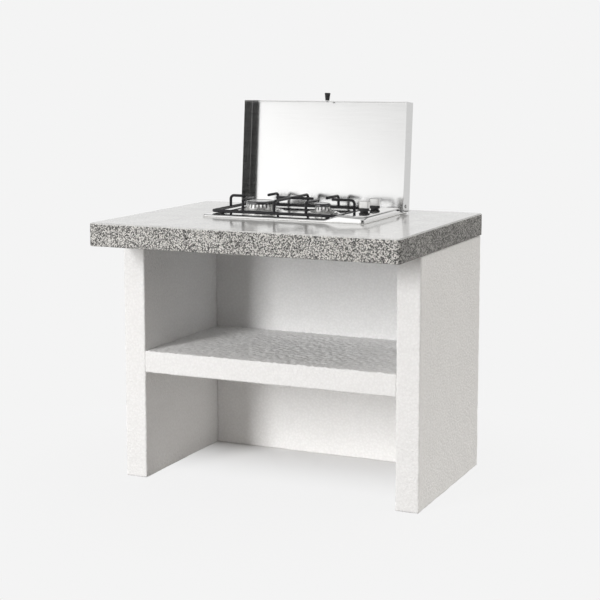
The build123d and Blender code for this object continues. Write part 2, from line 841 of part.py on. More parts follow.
# Inlet elbow: from the manifold's end down through the underpan's floor
with BuildPart() as gas_inlet_elbow:
    with BuildSketch(Plane.XY.offset(inlet_bottom)):
        with Locations((knob_x, inlet_y)):
            Circle(inlet_radius)
    extrude(amount=underpan_floor - inlet_bottom)
    with BuildSketch(Plane.XY.offset(underpan_bottom - lock_nut_height)):
        with Locations((knob_x, inlet_y)):
            Circle(inlet_neck_radius)
    extrude(amount=lock_nut_height + sheet)
    with BuildSketch(Plane.XY.offset(underpan_floor)):
        with Locations((knob_x, inlet_y)):
            Circle(inlet_collar_radius)
    extrude(amount=inlet_collar_height)
    with BuildSketch(Plane.XY.offset(underpan_floor + inlet_collar_height)):
        with Locations((knob_x, inlet_y)):
            Circle(inlet_body_radius)
    extrude(amount=manifold_z + inlet_body_radius - underpan_floor - inlet_collar_height)
    with BuildSketch(Plane.XZ.offset(-manifold_rear)):
        with Locations((knob_x, manifold_z)):
            Circle(manifold_radius + sheet)
    extrude(amount=manifold_rear - inlet_y)
save(gas_inlet_elbow, "gas_inlet_elbow")

# Lock nut that holds the elbow to the underpan
with BuildPart() as inlet_lock_nut:
    with BuildSketch(Plane.XY.offset(underpan_bottom - lock_nut_height)):
        with Locations((knob_x, inlet_y)):
            RegularPolygon(lock_nut_flats / 2, 6, major_radius=False)
            Circle(inlet_neck_radius + running_clearance, mode=Mode.SUBTRACT)
    extrude(amount=lock_nut_height)
save(inlet_lock_nut, "inlet_lock_nut")

jet_z = cup_bottom - jet_holder_height / 2
jet_reach = jet_holder_radius + jet_stub_reach
feeds = [
    (name, outlet_y, x + jet_reach)
    for (name, x, *rest), (tap_name, outlet_y) in zip(burners, taps)
]
feed_drop_x = outlet_x - feed_drop_reach

# Feed pipes from the taps to the jets
for name, outlet_y, jet_x in feeds:
    with BuildPart() as feed_pipe:
        with BuildLine() as feed_route:
            FilletPolyline(
                (outlet_x, outlet_y, outlet_z),
                (feed_drop_x, outlet_y, outlet_z),
                (feed_drop_x, outlet_y, jet_z),
                (jet_x + feed_turn_run, outlet_y, jet_z),
                (jet_x + feed_turn_run / 2, burner_y, jet_z),
                (jet_x, burner_y, jet_z),
                radius=feed_bend_radius,
            )
        with BuildSketch(Plane(origin=feed_route.line @ 0, z_dir=feed_route.line % 0)):
            Circle(feed_radius)
        sweep(path=feed_route.line)
    save(feed_pipe, f"{name}_feed_pipe")

# Hexagon nuts on both ends of the feed pipes
with BuildPart() as pipe_nuts:
    for name, outlet_y, jet_x in feeds:
        for x, y, z, way in ((outlet_x, outlet_y, outlet_z, -1), (jet_x, burner_y, jet_z, 1)):
            with BuildSketch(Plane.YZ.offset(x)):
                with Locations((y, z)):
                    RegularPolygon(pipe_nut_flats / 2, 6, major_radius=False)
                    Circle(feed_radius + running_clearance, mode=Mode.SUBTRACT)
            extrude(amount=way * pipe_nut_length)
save(pipe_nuts, "pipe_nuts")

lug_x = hob_right + bracket_gap
flange_inner = lid_half_width - sheet
heel_z = hinge_z - lid_heel * cos(lean)
stop_rear = hinge_y + bracket_rear_reach
stop_level = heel_z - (stop_rear - hinge_y) * sin(lean) / cos(lean) - seat_gap

for name, side in sides:
    # Hinge bracket: a foot on the plate, an eye for the pin and a stop tab under the lid's heel
    with BuildPart() as hinge_bracket:
        with BuildSketch(Plane.YZ.offset(side * lug_x)):
            with BuildLine():
                Polyline(
                    (hinge_y - bracket_front_reach, plate_top),
                    (hinge_y + bracket_rear_reach, plate_top),
                    (hinge_y + bracket_eye_radius, hinge_z),
                    (hinge_y - bracket_eye_radius, hinge_z),
                    close=True,
                )
            make_face()
            with Locations((hinge_y, hinge_z)):
                Circle(bracket_eye_radius)
        extrude(amount=side * bracket_thickness)
        foot_length = bracket_rear_reach - bracket_foot_start
        with BuildSketch(Plane.XY.offset(plate_top)):
            with Locations((side * (lug_x - bracket_foot_width / 2), bracket_screw_y)):
                Rectangle(bracket_foot_width, foot_length)
        extrude(amount=bracket_thickness)
        with BuildSketch(Plane.XY.offset(stop_level - bracket_thickness)):
            tab_x = lug_x + bracket_thickness / 2 + stop_tab_reach / 2
            with Locations((side * tab_x, stop_rear - stop_tab_length / 2)):
                Rectangle(bracket_thickness + stop_tab_reach, stop_tab_length)
        extrude(amount=bracket_thickness)
        with BuildSketch(Plane.YZ.offset(side * lug_x)):
            with Locations((hinge_y, hinge_z)):
                Circle(pin_radius + running_clearance)
        extrude(amount=side * bracket_thickness, mode=Mode.SUBTRACT)
        with BuildSketch(Plane.XY.offset(plate_top)):
            with Locations(*bracket_screw_spots):
                Circle(screw_radius + screw_clearance)
        extrude(amount=bracket_thickness, mode=Mode.SUBTRACT)
    save(hinge_bracket, f"{name}_hinge_bracket")

    # Hinge pin, with its head outside the lid's flange
    with BuildPart() as hinge_pin:
        head_x = lid_half_width + hinge_side_gap
        with BuildSketch(Plane.YZ.offset(side * lug_x)):
            with Locations((hinge_y, hinge_z)):
                Circle(pin_radius)
        extrude(amount=side * (head_x - lug_x))
        with BuildSketch(Plane.YZ.offset(side * head_x)):
            with Locations((hinge_y, hinge_z)):
                Circle(pin_head_radius)
        extrude(amount=side * pin_head_height)
    save(hinge_pin, f"{name}_hinge_pin")

# Bushes on the pins, between bracket and lid
with BuildPart() as hinge_bushes:
    for name, side in sides:
        bush_start = lug_x + bracket_thickness
        with BuildSketch(Plane.YZ.offset(side * bush_start)):
            with Locations((hinge_y, hinge_z)):
                Circle(bush_radius)
                Circle(pin_radius + running_clearance, mode=Mode.SUBTRACT)
        extrude(amount=side * (flange_inner - hinge_side_gap - bush_start))
save(hinge_bushes, "hinge_bushes")

# Screws of the hinge brackets
with BuildPart() as bracket_screws:
    with BuildSketch(Plane.XY.offset(plate_top + bracket_thickness - screw_bite)):
        with Locations(*bracket_screw_spots):
            Circle(screw_radius)
    extrude(amount=screw_bite)
    with BuildSketch(Plane.XY.offset(plate_top + bracket_thickness)):
        with Locations(*bracket_screw_spots):
            Circle(screw_head_radius)
    extrude(amount=screw_head_height)
save(bracket_screws, "bracket_screws")


def lid_block(inset):
    """The lid's outer form, or its hollow where inset is the sheet: bent on three sides, open at the heel."""
    length = lid_reach + lid_heel
    with BuildPart() as block:
        with BuildSketch(lid_plane.offset(inset - lid_back)):
            with Locations((0, (lid_reach - lid_heel) / 2 - inset)):
                Rectangle(2 * (lid_half_width - inset), length)
        extrude(amount=lid_depth - inset)
        panel_edges = block.faces().sort_by(lid_across)[0].edges().sort_by(lid_along)[1:]
        corner_edges = block.edges().filter_by(lid_across).sort_by(lid_along)[-2:]
        fillet(panel_edges + corner_edges, radius=lid_bend_radius - inset)
    return block.part


lid_knob_level = lid_rim - lid_depth / 2
lid_knob_plane = Plane(
    lid_plane.from_local_coords((0, lid_reach, lid_knob_level)), x_dir=(1, 0, 0), z_dir=lid_along.direction
)

lid_outside = lid_block(0)
lid_inside = lid_block(sheet)

# Lid: a folded tray of sheet, its heel rounded about the hinge
with BuildPart() as lid_shell:
    add(lid_outside)
    add(lid_inside, mode=Mode.SUBTRACT)
    heel_edges = lid_shell.edges().filter_by(Axis.X).filter_by(lambda edge: edge.length < 2 * sheet)
    fillet(heel_edges.sort_by(lid_along)[:4].sort_by(lid_across)[-2:], radius=lid_heel)
    with BuildSketch(Plane.YZ.offset(-lid_half_width)):
        with Locations((hinge_y, hinge_z)):
            Circle(pin_radius + running_clearance)
    extrude(amount=2 * lid_half_width, mode=Mode.SUBTRACT)
    with BuildSketch(lid_knob_plane):
        Circle(screw_radius + screw_clearance)
    extrude(amount=-sheet, mode=Mode.SUBTRACT)
save(lid_shell, "lid_shell")

# Collar under the lid's knob
with BuildPart() as lid_knob_collar:
    with BuildSketch(lid_knob_plane):
        Circle(lid_knob_collar_radius)
        Circle(screw_radius + screw_clearance, mode=Mode.SUBTRACT)
    extrude(amount=lid_knob_collar_height)
save(lid_knob_collar, "lid_knob_collar")

# Lid knob, widening outwards
with BuildPart() as lid_knob:
    knob_seat = lid_knob_plane.offset(lid_knob_collar_height)
    with BuildSketch(knob_seat):
        Circle(lid_knob_base_radius)
    with BuildSketch(knob_seat.offset(lid_knob_length - lid_knob_collar_height)):
        Circle(lid_knob_end_radius)
    loft()
    fillet(lid_knob.faces().sort_by(lid_along)[-1].edges(), radius=lid_knob_ease)
    with BuildSketch(knob_seat):
        Circle(screw_radius + screw_clearance)
    extrude(amount=lid_knob_screw_bite, mode=Mode.SUBTRACT)
save(lid_knob, "lid_knob")

# Screw of the lid's knob, from inside the flange
with BuildPart() as lid_knob_screw:
    with BuildSketch(lid_knob_plane.offset(-sheet)):
        Circle(screw_radius)
    extrude(amount=sheet + lid_knob_collar_height + lid_knob_screw_bite - screw_clearance)
    with BuildSketch(lid_knob_plane.offset(-sheet)):
        Circle(screw_head_radius)
    extrude(amount=-screw_head_height)
save(lid_knob_screw, "lid_knob_screw")
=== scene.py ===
import json
import math

import bmesh
import bpy
from mathutils import Matrix, Vector, noise


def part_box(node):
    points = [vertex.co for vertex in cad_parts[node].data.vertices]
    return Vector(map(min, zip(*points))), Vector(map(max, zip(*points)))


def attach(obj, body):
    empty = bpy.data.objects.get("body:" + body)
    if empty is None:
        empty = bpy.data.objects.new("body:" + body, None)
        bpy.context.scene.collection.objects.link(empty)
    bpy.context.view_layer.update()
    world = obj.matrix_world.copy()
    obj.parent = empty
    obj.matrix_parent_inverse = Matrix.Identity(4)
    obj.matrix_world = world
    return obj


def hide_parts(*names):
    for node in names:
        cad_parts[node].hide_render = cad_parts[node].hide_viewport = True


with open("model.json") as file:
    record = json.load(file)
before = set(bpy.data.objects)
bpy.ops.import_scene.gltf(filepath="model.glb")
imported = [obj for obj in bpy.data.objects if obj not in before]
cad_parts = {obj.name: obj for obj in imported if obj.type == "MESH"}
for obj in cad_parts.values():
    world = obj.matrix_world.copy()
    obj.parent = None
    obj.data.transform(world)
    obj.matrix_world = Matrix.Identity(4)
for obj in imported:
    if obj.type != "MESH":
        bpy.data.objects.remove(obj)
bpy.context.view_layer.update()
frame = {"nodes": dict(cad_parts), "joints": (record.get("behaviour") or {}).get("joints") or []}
nodes = frame["nodes"]
mm = 0.001
touching = 1e-6  # two places closer than this are one
print("frame loaded,", len(nodes), "nodes")


# node helpers
def newFinish(name, values):
    finish = bpy.data.materials.new(name)
    finish.use_nodes = True
    shader = finish.node_tree.nodes["Principled BSDF"]
    for socket, value in values.items():
        shader.inputs[socket].default_value = value
    return finish, finish.node_tree, shader


def addNode(tree, kind, **values):
    node = tree.nodes.new(kind)
    for key, value in values.items():
        if key in node.inputs:
            node.inputs[key].default_value = value
        else:
            setattr(node, key, value)
    return node


def feed(tree, socket, value):
    if isinstance(value, bpy.types.NodeSocket):
        tree.links.new(value, socket)
    else:
        socket.default_value = value


def objectCoords(tree, stretch=None):
    place = addNode(tree, "ShaderNodeTexCoord").outputs["Object"]
    if stretch:
        mapping = addNode(tree, "ShaderNodeMapping", Scale=stretch)
        tree.links.new(place, mapping.inputs["Vector"])
        place = mapping.outputs["Vector"]
    return place


def texture(tree, kind, place, output, **values):
    node = addNode(tree, kind, **values)
    tree.links.new(place, node.inputs["Vector"])
    return node.outputs[output]


def cloudTexture(tree, place, values):
    return texture(tree, "ShaderNodeTexNoise", place, "Fac", **values)


def colourRamp(tree, factor, stops, blend="LINEAR"):
    node = addNode(tree, "ShaderNodeValToRGB")
    ramp = node.color_ramp
    ramp.interpolation = blend
    ramp.elements[0].position, ramp.elements[1].position = stops[0][0], stops[-1][0]
    ramp.elements[0].color, ramp.elements[1].color = (*stops[0][1], 1), (*stops[-1][1], 1)
    for spot, colour in stops[1:-1]:
        ramp.elements.new(spot).color = (*colour, 1)
    tree.links.new(factor, node.inputs["Fac"])
    return node.outputs["Color"]


def grey(level):
    return (level, level, level)


def scaled(colour, share):
    return tuple(min(1.0, share * channel) for channel in colour)


mixSockets = {"factor": 0, "first": 6, "second": 7, "result": 2}  # the colour ones


def mixColour(tree, factor, first, second, blend="MIX"):
    node = addNode(tree, "ShaderNodeMix", data_type="RGBA", blend_type=blend)
    for name, value in (("factor", factor), ("first", first), ("second", second)):
        feed(tree, node.inputs[mixSockets[name]], (*value, 1) if isinstance(value, tuple) else value)
    return node.outputs[mixSockets["result"]]


def mixShader(tree, factor, first, second):
    node = addNode(tree, "ShaderNodeMixShader")
    tree.links.new(factor, node.inputs[0])
    tree.links.new(first.outputs[0], node.inputs[1])
    tree.links.new(second.outputs[0], node.inputs[2])
    return node


def maths(tree, operation, *values):
    node = addNode(tree, "ShaderNodeMath", operation=operation)
    for value, socket in zip(values, node.inputs):
        feed(tree, socket, value)
    return node.outputs[0]


def mapRange(tree, value, ends, blend="LINEAR", results=(0.0, 1.0)):
    node = addNode(tree, "ShaderNodeMapRange", interpolation_type=blend)
    for socket, level in zip(("From Min", "From Max", "To Min", "To Max"), (*ends, *results)):
        node.inputs[socket].default_value = level
    tree.links.new(value, node.inputs["Value"])
    return node.outputs["Result"]


def bumpFrom(tree, shader, height, strength, distance):
    node = addNode(tree, "ShaderNodeBump", Strength=strength, Distance=distance)
    tree.links.new(height, node.inputs["Height"])
    tree.links.new(node.outputs["Normal"], shader.inputs["Normal"])


middleSpan = (0.3, 0.7)  # where a cloud texture has most of its values


def varyRoughness(tree, shader, factor, roughness, spread):
    start, end = middleSpan
    less, more = spread
    rough = colourRamp(tree, factor, ((start, grey(roughness - less)), (end, grey(roughness + more))))
    tree.links.new(rough, shader.inputs["Roughness"])


# finishes
terrazzo = {
    "chipScale": 290.0, "crumbScale": 580.0,
    "chips": ((0.0, (0.014, 0.014, 0.014)), (0.26, (0.09, 0.09, 0.086)), (0.42, (0.31, 0.306, 0.296)),
              (0.59, (0.64, 0.63, 0.605)), (1.0, (0.7, 0.69, 0.66))),
    "crumbs": ((0.0, (0.03, 0.03, 0.03)), (0.4, (0.25, 0.246, 0.238)), (0.7, (0.42, 0.413, 0.397)),
               (1.0, (0.58, 0.57, 0.55))),
    "seam": 0.06, "paintedSheenTone": (0.84, 0.838, 0.83), "depth": 0.2 * mm,
    "cloud": {"Scale": 14.0, "Detail": 3.0}, "cloudShade": 0.86,
}


def terrazzoFinish(name, values, grainBump, paintedLightLevel=1.0, paintedSheen=0.0):
    finish, tree, shader = newFinish(name, values)
    place = objectCoords(tree)
    chipHue = texture(tree, "ShaderNodeTexVoronoi", place, "Color", Scale=terrazzo["chipScale"])
    crumbHue = texture(tree, "ShaderNodeTexVoronoi", place, "Color", Scale=terrazzo["crumbScale"])
    seam = texture(tree, "ShaderNodeTexVoronoi", place, "Distance", feature="DISTANCE_TO_EDGE",
                   Scale=terrazzo["chipScale"])
    chips = colourRamp(tree, chipHue, terrazzo["chips"], "CONSTANT")
    crumbs = colourRamp(tree, crumbHue, terrazzo["crumbs"], "CONSTANT")
    inSeam = maths(tree, "LESS_THAN", seam, terrazzo["seam"])
    # paintedSheen mixes a pale tone over the chips: painted sheen that lightens the polished top
    speckle = mixColour(tree, paintedSheen, mixColour(tree, inSeam, chips, crumbs), terrazzo["paintedSheenTone"])
    start, end = middleSpan
    cloud = cloudTexture(tree, place, terrazzo["cloud"])
    # paintedLightLevel lightens or darkens the whole colour as painted light or shade
    shade = colourRamp(tree, cloud, ((start, grey(terrazzo["cloudShade"] * paintedLightLevel)), (end, grey(paintedLightLevel))))
    tree.links.new(mixColour(tree, 1.0, speckle, shade, "MULTIPLY"), shader.inputs["Base Color"])
    bumpFrom(tree, shader, chipHue, grainBump, terrazzo["depth"])
    return finish


plaster = {
    "values": {"Roughness": 0.92, "Specular IOR Level": 0.2},
    "body": ((0.32, (0.945, 0.942, 0.938)), (0.62, (0.96, 0.957, 0.955))),
    "pitShadeTone": (0.72, 0.715, 0.708), "pitShadeSpan": (0.25, 0.65), "pitShadeScale": 120.0,
    "cloud": {"Scale": 7.0, "Detail": 4.0, "Roughness": 0.6},
    "fine": {"Scale": 150.0, "Detail": 4.0, "Roughness": 0.7},
    "blobScale": 140.0, "blobShare": -0.6, "depth": 3.2 * mm,
}


def plasterFinish(name, stipple, pitShadeShare):
    finish, tree, shader = newFinish(name, plaster["values"])
    place = objectCoords(tree)
    cloud = cloudTexture(tree, place, plaster["cloud"])
    fine = cloudTexture(tree, place, plaster["fine"])
    pitShadeCells = texture(tree, "ShaderNodeTexVoronoi", place, "Distance", Scale=plaster["pitShadeScale"])
    blobs = texture(tree, "ShaderNodeTexVoronoi", place, "Distance", feature="SMOOTH_F1",
                    Scale=plaster["blobScale"])
    body = colourRamp(tree, cloud, plaster["body"])
    # darker specks in the stipple's pits: painted shade in the hollows
    start, end = plaster["pitShadeSpan"]
    pitShadeMask = colourRamp(tree, pitShadeCells, ((start, grey(0.0)), (end, grey(pitShadeShare))))
    tree.links.new(mixColour(tree, pitShadeMask, body, plaster["pitShadeTone"]), shader.inputs["Base Color"])
    height = maths(tree, "ADD", fine, maths(tree, "MULTIPLY", blobs, plaster["blobShare"]))
    bumpFrom(tree, shader, height, stipple, plaster["depth"])
    return finish


brushed = {
    "alongScale": 9.0, "acrossScale": 700.0, "hairs": {"Scale": 1.0, "Detail": 4.0, "Roughness": 0.7},
    "streak": ((0.35, grey(0.94)), (0.65, grey(1.0))), "broad": {"Scale": 5.0, "Detail": 3.0},
    "darkShare": 0.93, "roughSpread": (0.04, 0.05), "depth": 0.03 * mm,
}


def brushedFinish(name, colour, roughness, along, scratch):
    finish, tree, shader = newFinish(name, {"Metallic": 1.0, "Roughness": roughness})
    stretch = [brushed["acrossScale"]] * 3
    stretch[along] = brushed["alongScale"]
    hairs = cloudTexture(tree, objectCoords(tree, stretch), brushed["hairs"])
    broad = cloudTexture(tree, objectCoords(tree), brushed["broad"])
    tone = mixColour(tree, broad, scaled(colour, brushed["darkShare"]), colour)
    streak = colourRamp(tree, hairs, brushed["streak"])
    tree.links.new(mixColour(tree, 1.0, tone, streak, "MULTIPLY"), shader.inputs["Base Color"])
    varyRoughness(tree, shader, hairs, roughness, brushed["roughSpread"])
    bumpFrom(tree, shader, hairs, scratch, brushed["depth"])
    return finish


enamel = {
    "values": {"IOR": 1.5, "Coat Roughness": 0.06, "Coat IOR": 1.9},
    "ripple": {"Scale": 420.0, "Detail": 2.0}, "cloud": {"Scale": 40.0, "Detail": 4.0},
    "wornShare": 2.2, "roughSpread": (0.06, 0.1), "depth": 0.15 * mm,
}


def enamelFinish(name, colour, roughness, peel, coat=0.0):
    values = {**enamel["values"], "Roughness": roughness, "Coat Weight": coat}
    finish, tree, shader = newFinish(name, values)
    place = objectCoords(tree)
    ripple = cloudTexture(tree, place, enamel["ripple"])
    cloud = cloudTexture(tree, place, enamel["cloud"])
    worn = scaled(colour, enamel["wornShare"])
    tree.links.new(mixColour(tree, cloud, colour, worn), shader.inputs["Base Color"])
    varyRoughness(tree, shader, cloud, roughness, enamel["roughSpread"])
    bumpFrom(tree, shader, ripple, peel, enamel["depth"])
    return finish


cast = {
    "fine": {"Scale": 900.0, "Detail": 3.0}, "cloud": {"Scale": 60.0, "Detail": 4.0},
    "darkShare": 0.72, "roughSpread": (0.07, 0.1), "depth": 0.08 * mm,
}


def castFinish(name, colour, roughness, grain, metal=1.0):
    finish, tree, shader = newFinish(name, {"Metallic": metal, "Roughness": roughness})
    place = objectCoords(tree)
    fine = cloudTexture(tree, place, cast["fine"])
    cloud = cloudTexture(tree, place, cast["cloud"])
    dark = scaled(colour, cast["darkShare"])
    tree.links.new(mixColour(tree, cloud, dark, colour), shader.inputs["Base Color"])
    varyRoughness(tree, shader, fine, roughness, cast["roughSpread"])
    bumpFrom(tree, shader, fine, grain, cast["depth"])
    return finish


spangle = {
    "values": {"Metallic": 1.0, "Roughness": 0.42}, "flakeScale": 110.0,
    "tones": ((0.1, (0.42, 0.43, 0.44)), (0.9, (0.66, 0.67, 0.68))),
    "roughs": ((0.0, grey(0.34)), (1.0, grey(0.52))),
}


def spangleFinish(name):
    finish, tree, shader = newFinish(name, spangle["values"])
    flakes = texture(tree, "ShaderNodeTexVoronoi", objectCoords(tree), "Color", Scale=spangle["flakeScale"])
    tree.links.new(colourRamp(tree, flakes, spangle["tones"]), shader.inputs["Base Color"])
    tree.links.new(colourRamp(tree, flakes, spangle["roughs"]), shader.inputs["Roughness"])
    return finish


polish = {"Roughness": 0.35, "IOR": 1.5, "Coat Weight": 1.0, "Coat Roughness": 0.1, "Coat IOR": 1.62}
hone = {"Roughness": 0.5, "Specular IOR Level": 0.35}
sawCut = {"Roughness": 0.6, "Specular IOR Level": 0.3}
# the polished top's colour is lightened by a painted sheen
polishedTop = terrazzoFinish("polished_terrazzo", polish, grainBump=0.03, paintedSheen=0.62)
# paintedLightLevel above 1 lightens the honed faces; below 1 it paints shade on the sawn ends
honedEdge = terrazzoFinish("honed_terrazzo", hone, grainBump=0.2, paintedLightLevel=1.16)
sawnEdgeShaded = terrazzoFinish("sawn_terrazzo_painted_shade", sawCut, grainBump=0.25, paintedLightLevel=0.84)
# pitShadeShare sets how much painted shade darkens the pits
plasterWall = plasterFinish("fine_plaster", stipple=0.75, pitShadeShare=0.2)
plasterShelf = plasterFinish("rough_plaster", stipple=0.2, pitShadeShare=0.3)
lidSteel = brushedFinish("satin_lid_steel", (0.75, 0.748, 0.743), roughness=0.15, along=0, scratch=0.05)
# the flanges are the lid's own sheet: their brushing along Y is real, their darker colour is painted shade
flangeSteelShaded = brushedFinish("lid_flange_steel_painted_shade", (0.66, 0.658, 0.653), roughness=0.12, along=1, scratch=0.03)
hobSteel = brushedFinish("bright_hob_steel", (0.82, 0.817, 0.808), roughness=0.08, along=0, scratch=0.01)
hingeSteel = brushedFinish("hinge_steel", (0.52, 0.52, 0.52), roughness=0.34, along=1, scratch=0.12)
blackEnamel = enamelFinish("black_enamel", (0.004, 0.0038, 0.005), roughness=0.15, peel=0.04)
capEnamel = enamelFinish("cap_enamel", (0.004, 0.0038, 0.005), roughness=0.15, peel=0.04, coat=1.0)
castAluminium = castFinish("cast_aluminium", (0.97, 0.965, 0.95), roughness=0.24, grain=0.1, metal=0.9)
satinSilver = castFinish("satin_silver", (0.93, 0.925, 0.91), roughness=0.36, grain=0.05)
blackPlastic = castFinish("black_plastic", (0.016, 0.016, 0.017), roughness=0.42, grain=0.3, metal=0.0)
rubber = castFinish("rubber", (0.025, 0.025, 0.026), roughness=0.75, grain=0.5, metal=0.0)
paleSeal = castFinish("pale_seal", (0.62, 0.615, 0.6), roughness=0.7, grain=0.4, metal=0.0)
brass = castFinish("brass", (0.72, 0.52, 0.24), roughness=0.32, grain=0.3)
pipeSteel = castFinish("pipe_steel", (0.45, 0.45, 0.46), roughness=0.4, grain=0.3)
mortar = castFinish("mortar", (0.55, 0.54, 0.52), roughness=0.88, grain=1.0, metal=0.0)
galvanised = spangleFinish("galvanised")
markPaint = castFinish("mark_paint", (0.05, 0.05, 0.052), roughness=0.5, grain=0.1, metal=0.0)

slotFinish = {
    "terrazzo": honedEdge, "plaster": plasterWall, "mortar": mortar, "stainless": hobSteel,
    "galvanised": galvanised, "hinge_steel": hingeSteel, "black_enamel": blackEnamel,
    "burner_aluminium": castAluminium, "satin_silver": satinSilver, "black_plastic": blackPlastic,
    "rubber": rubber, "brass": brass, "pipe_steel": pipeSteel,
}
for node in nodes.values():
    for held in node.material_slots:
        held.material = slotFinish[held.material.name.split(".")[0]]
nodes["hob_seal"].material_slots[0].material = paleSeal
print("finishes made,", len(slotFinish), "slots")


# mesh helpers
def bevel(bm, geom, offset, segments, affect="EDGES"):
    bmesh.ops.bevel(bm, geom=geom, offset=offset, offset_type="OFFSET", affect=affect, segments=segments,
                    profile=0.5, material=-1, clamp_overlap=True)


def sharpEdges(bm, degrees):
    return [edge for edge in bm.edges if edge.calc_face_angle(0.0) > math.radians(degrees)]


def edgesAlong(bm, axis, share=0.99):
    found = []
    for edge in bm.edges:
        run = edge.verts[1].co - edge.verts[0].co
        if run.length > 0 and abs(run[axis]) > share * run.length:
            found.append(edge)
    return found


def edgesAtLevel(bm, level):
    return [edge for edge in bm.edges if all(abs(vert.co.z - level) < touching for vert in edge.verts)]


def holdFlats(bm, smallest, margin):  # a narrow border keeps the shading of wide faces flat
    bm.normal_update()
    wide = [face for face in bm.faces if face.calc_area() > smallest]
    bmesh.ops.inset_individual(bm, faces=wide, thickness=margin, use_even_offset=True)


def block(low, high):
    bm = bmesh.new()
    bmesh.ops.create_cube(bm, size=1)
    bmesh.ops.scale(bm, vec=high - low, verts=bm.verts)
    bmesh.ops.translate(bm, vec=(low + high) / 2, verts=bm.verts)
    return bm


def turned(points, centre, steps, closed=False):
    bm = bmesh.new()
    verts = [bm.verts.new((centre.x + radius, centre.y, z)) for radius, z in points]
    edges = [bm.edges.new(pair) for pair in zip(verts, verts[1:])]
    if closed:
        edges.append(bm.edges.new((verts[-1], verts[0])))
    bmesh.ops.spin(bm, geom=verts + edges, cent=centre, axis=(0, 0, 1), angle=2 * math.pi, steps=steps,
                   use_merge=True, use_duplicate=False)
    bmesh.ops.remove_doubles(bm, verts=bm.verts, dist=touching)
    bmesh.ops.recalc_face_normals(bm, faces=bm.faces)
    return bm


def addPiece(name, bm, body, finishes, stands=(), crease=32):
    bm.normal_update()
    for edge in bm.edges:
        edge.smooth = edge.calc_face_angle(0.0) < math.radians(crease)
    for face in bm.faces:
        face.smooth = True
    mesh = bpy.data.meshes.new(name)
    bm.to_mesh(mesh)
    bm.free()
    for finish in finishes:
        mesh.materials.append(finish)
    piece = bpy.data.objects.new(name, mesh)
    bpy.context.scene.collection.objects.link(piece)
    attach(piece, body)
    if stands:
        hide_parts(*stands)


def middle(node):
    low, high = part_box(node)
    return (low + high) / 2


# worktop slab: polished on top, sawn at the ends and darkened there by painted shade, honed elsewhere
slab = {
    "corner": 12 * mm, "topEase": 5 * mm, "bottomEase": 3 * mm, "cutoutMargin": 15 * mm,
    "cutoutCorner": 20 * mm, "flatArea": 0.002, "flatMargin": 1 * mm, "topFacing": 0.35, "endFacing": 0.7,
}


def buildSlab():
    low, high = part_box("worktop_slab")
    hobLow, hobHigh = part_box("hob_plate")
    bm = block(low, high)
    bevel(bm, edgesAlong(bm, axis=2), slab["corner"], segments=8)
    for level, ease in ((high.z, slab["topEase"]), (low.z, slab["bottomEase"])):
        bevel(bm, edgesAtLevel(bm, level), ease, segments=5)
    left, right = hobLow.x + slab["cutoutMargin"], hobHigh.x - slab["cutoutMargin"]
    front, back = hobLow.y + slab["cutoutMargin"], hobHigh.y - slab["cutoutMargin"]
    for spot, normal in (((left, 0, 0), (1, 0, 0)), ((right, 0, 0), (1, 0, 0)),
                         ((0, front, 0), (0, 1, 0)), ((0, back, 0), (0, 1, 0))):
        whole = bm.verts[:] + bm.edges[:] + bm.faces[:]
        bmesh.ops.bisect_plane(bm, geom=whole, plane_co=spot, plane_no=normal)
    hole = [f for f in bm.faces if left < f.calc_center_median().x < right
            and front < f.calc_center_median().y < back]
    bmesh.ops.delete(bm, geom=hole, context="FACES")
    bmesh.ops.bridge_loops(bm, edges=[e for e in bm.edges if e.is_boundary])
    inside = [e for e in edgesAlong(bm, axis=2) if left - mm < e.verts[0].co.x < right + mm
              and front - mm < e.verts[0].co.y < back + mm]
    bevel(bm, inside, slab["cutoutCorner"], segments=6)
    holdFlats(bm, slab["flatArea"], slab["flatMargin"])
    bm.normal_update()
    for face in bm.faces:
        onEnd = abs(face.normal.x) > slab["endFacing"]
        face.material_index = 0 if face.normal.z > slab["topFacing"] else 2 if onEnd else 1
    addPiece("terrazzo_worktop", bm, "base", (polishedTop, honedEdge, sawnEdgeShaded),
             ("worktop_slab",), crease=40)


buildSlab()

# plastered panels: a cell grid with uneven faces and worn edges
panels = {
    "cell": 7 * mm, "shelfCell": 5 * mm, "runShare": 0.9, "edge": 4 * mm, "seat": 1 * mm,
    "swell": 0.9 * mm, "swellScale": 13.0, "rippleShare": 0.5, "rippleScale": 52.0,
    "grain": 0.35 * mm, "shelfGrain": 3.2 * mm, "grainScale": 120.0, "nick": 1.6 * mm, "nickScale": 55.0,
    "levelFacing": 0.98, "flatFacing": 0.95, "topFacing": 0.7,
}


def buildPanel(name, node, low, high, finishes, grain, cell):
    bm = block(low, high)
    size = high - low
    for axis in range(3):
        runs = [e for e in edgesAlong(bm, axis) if e.calc_length() > panels["runShare"] * size[axis]]
        cuts = round(size[axis] / cell) - 1
        bmesh.ops.subdivide_edges(bm, edges=runs, cuts=cuts, use_grid_fill=True)
    bevel(bm, sharpEdges(bm, degrees=60), panels["edge"], segments=3)
    bm.normal_update()
    moves = []
    for vert in bm.verts:
        ripple = panels["rippleShare"] * noise.noise(vert.co * panels["rippleScale"])
        swell = noise.noise(vert.co * panels["swellScale"]) + ripple
        speck = noise.noise(vert.co * panels["grainScale"])
        relief = grain if vert.normal.z > panels["levelFacing"] else panels["grain"]
        out = panels["swell"] * swell + relief * speck
        if max(abs(part) for part in vert.normal) < panels["flatFacing"]:  # chipped edges
            out -= panels["nick"] * abs(noise.noise(vert.co * panels["nickScale"]))
        moves.append(vert.normal * out)
    for vert, move in zip(bm.verts, moves):
        vert.co += move
        vert.co.z = max(vert.co.z, 0.0)
    for face in bm.faces:  # a second finish, with more painted pit shade, lies on top
        face.material_index = 1 if len(finishes) > 1 and face.normal.z > panels["topFacing"] else 0
    addPiece(name, bm, "base", finishes, (node,), crease=60)


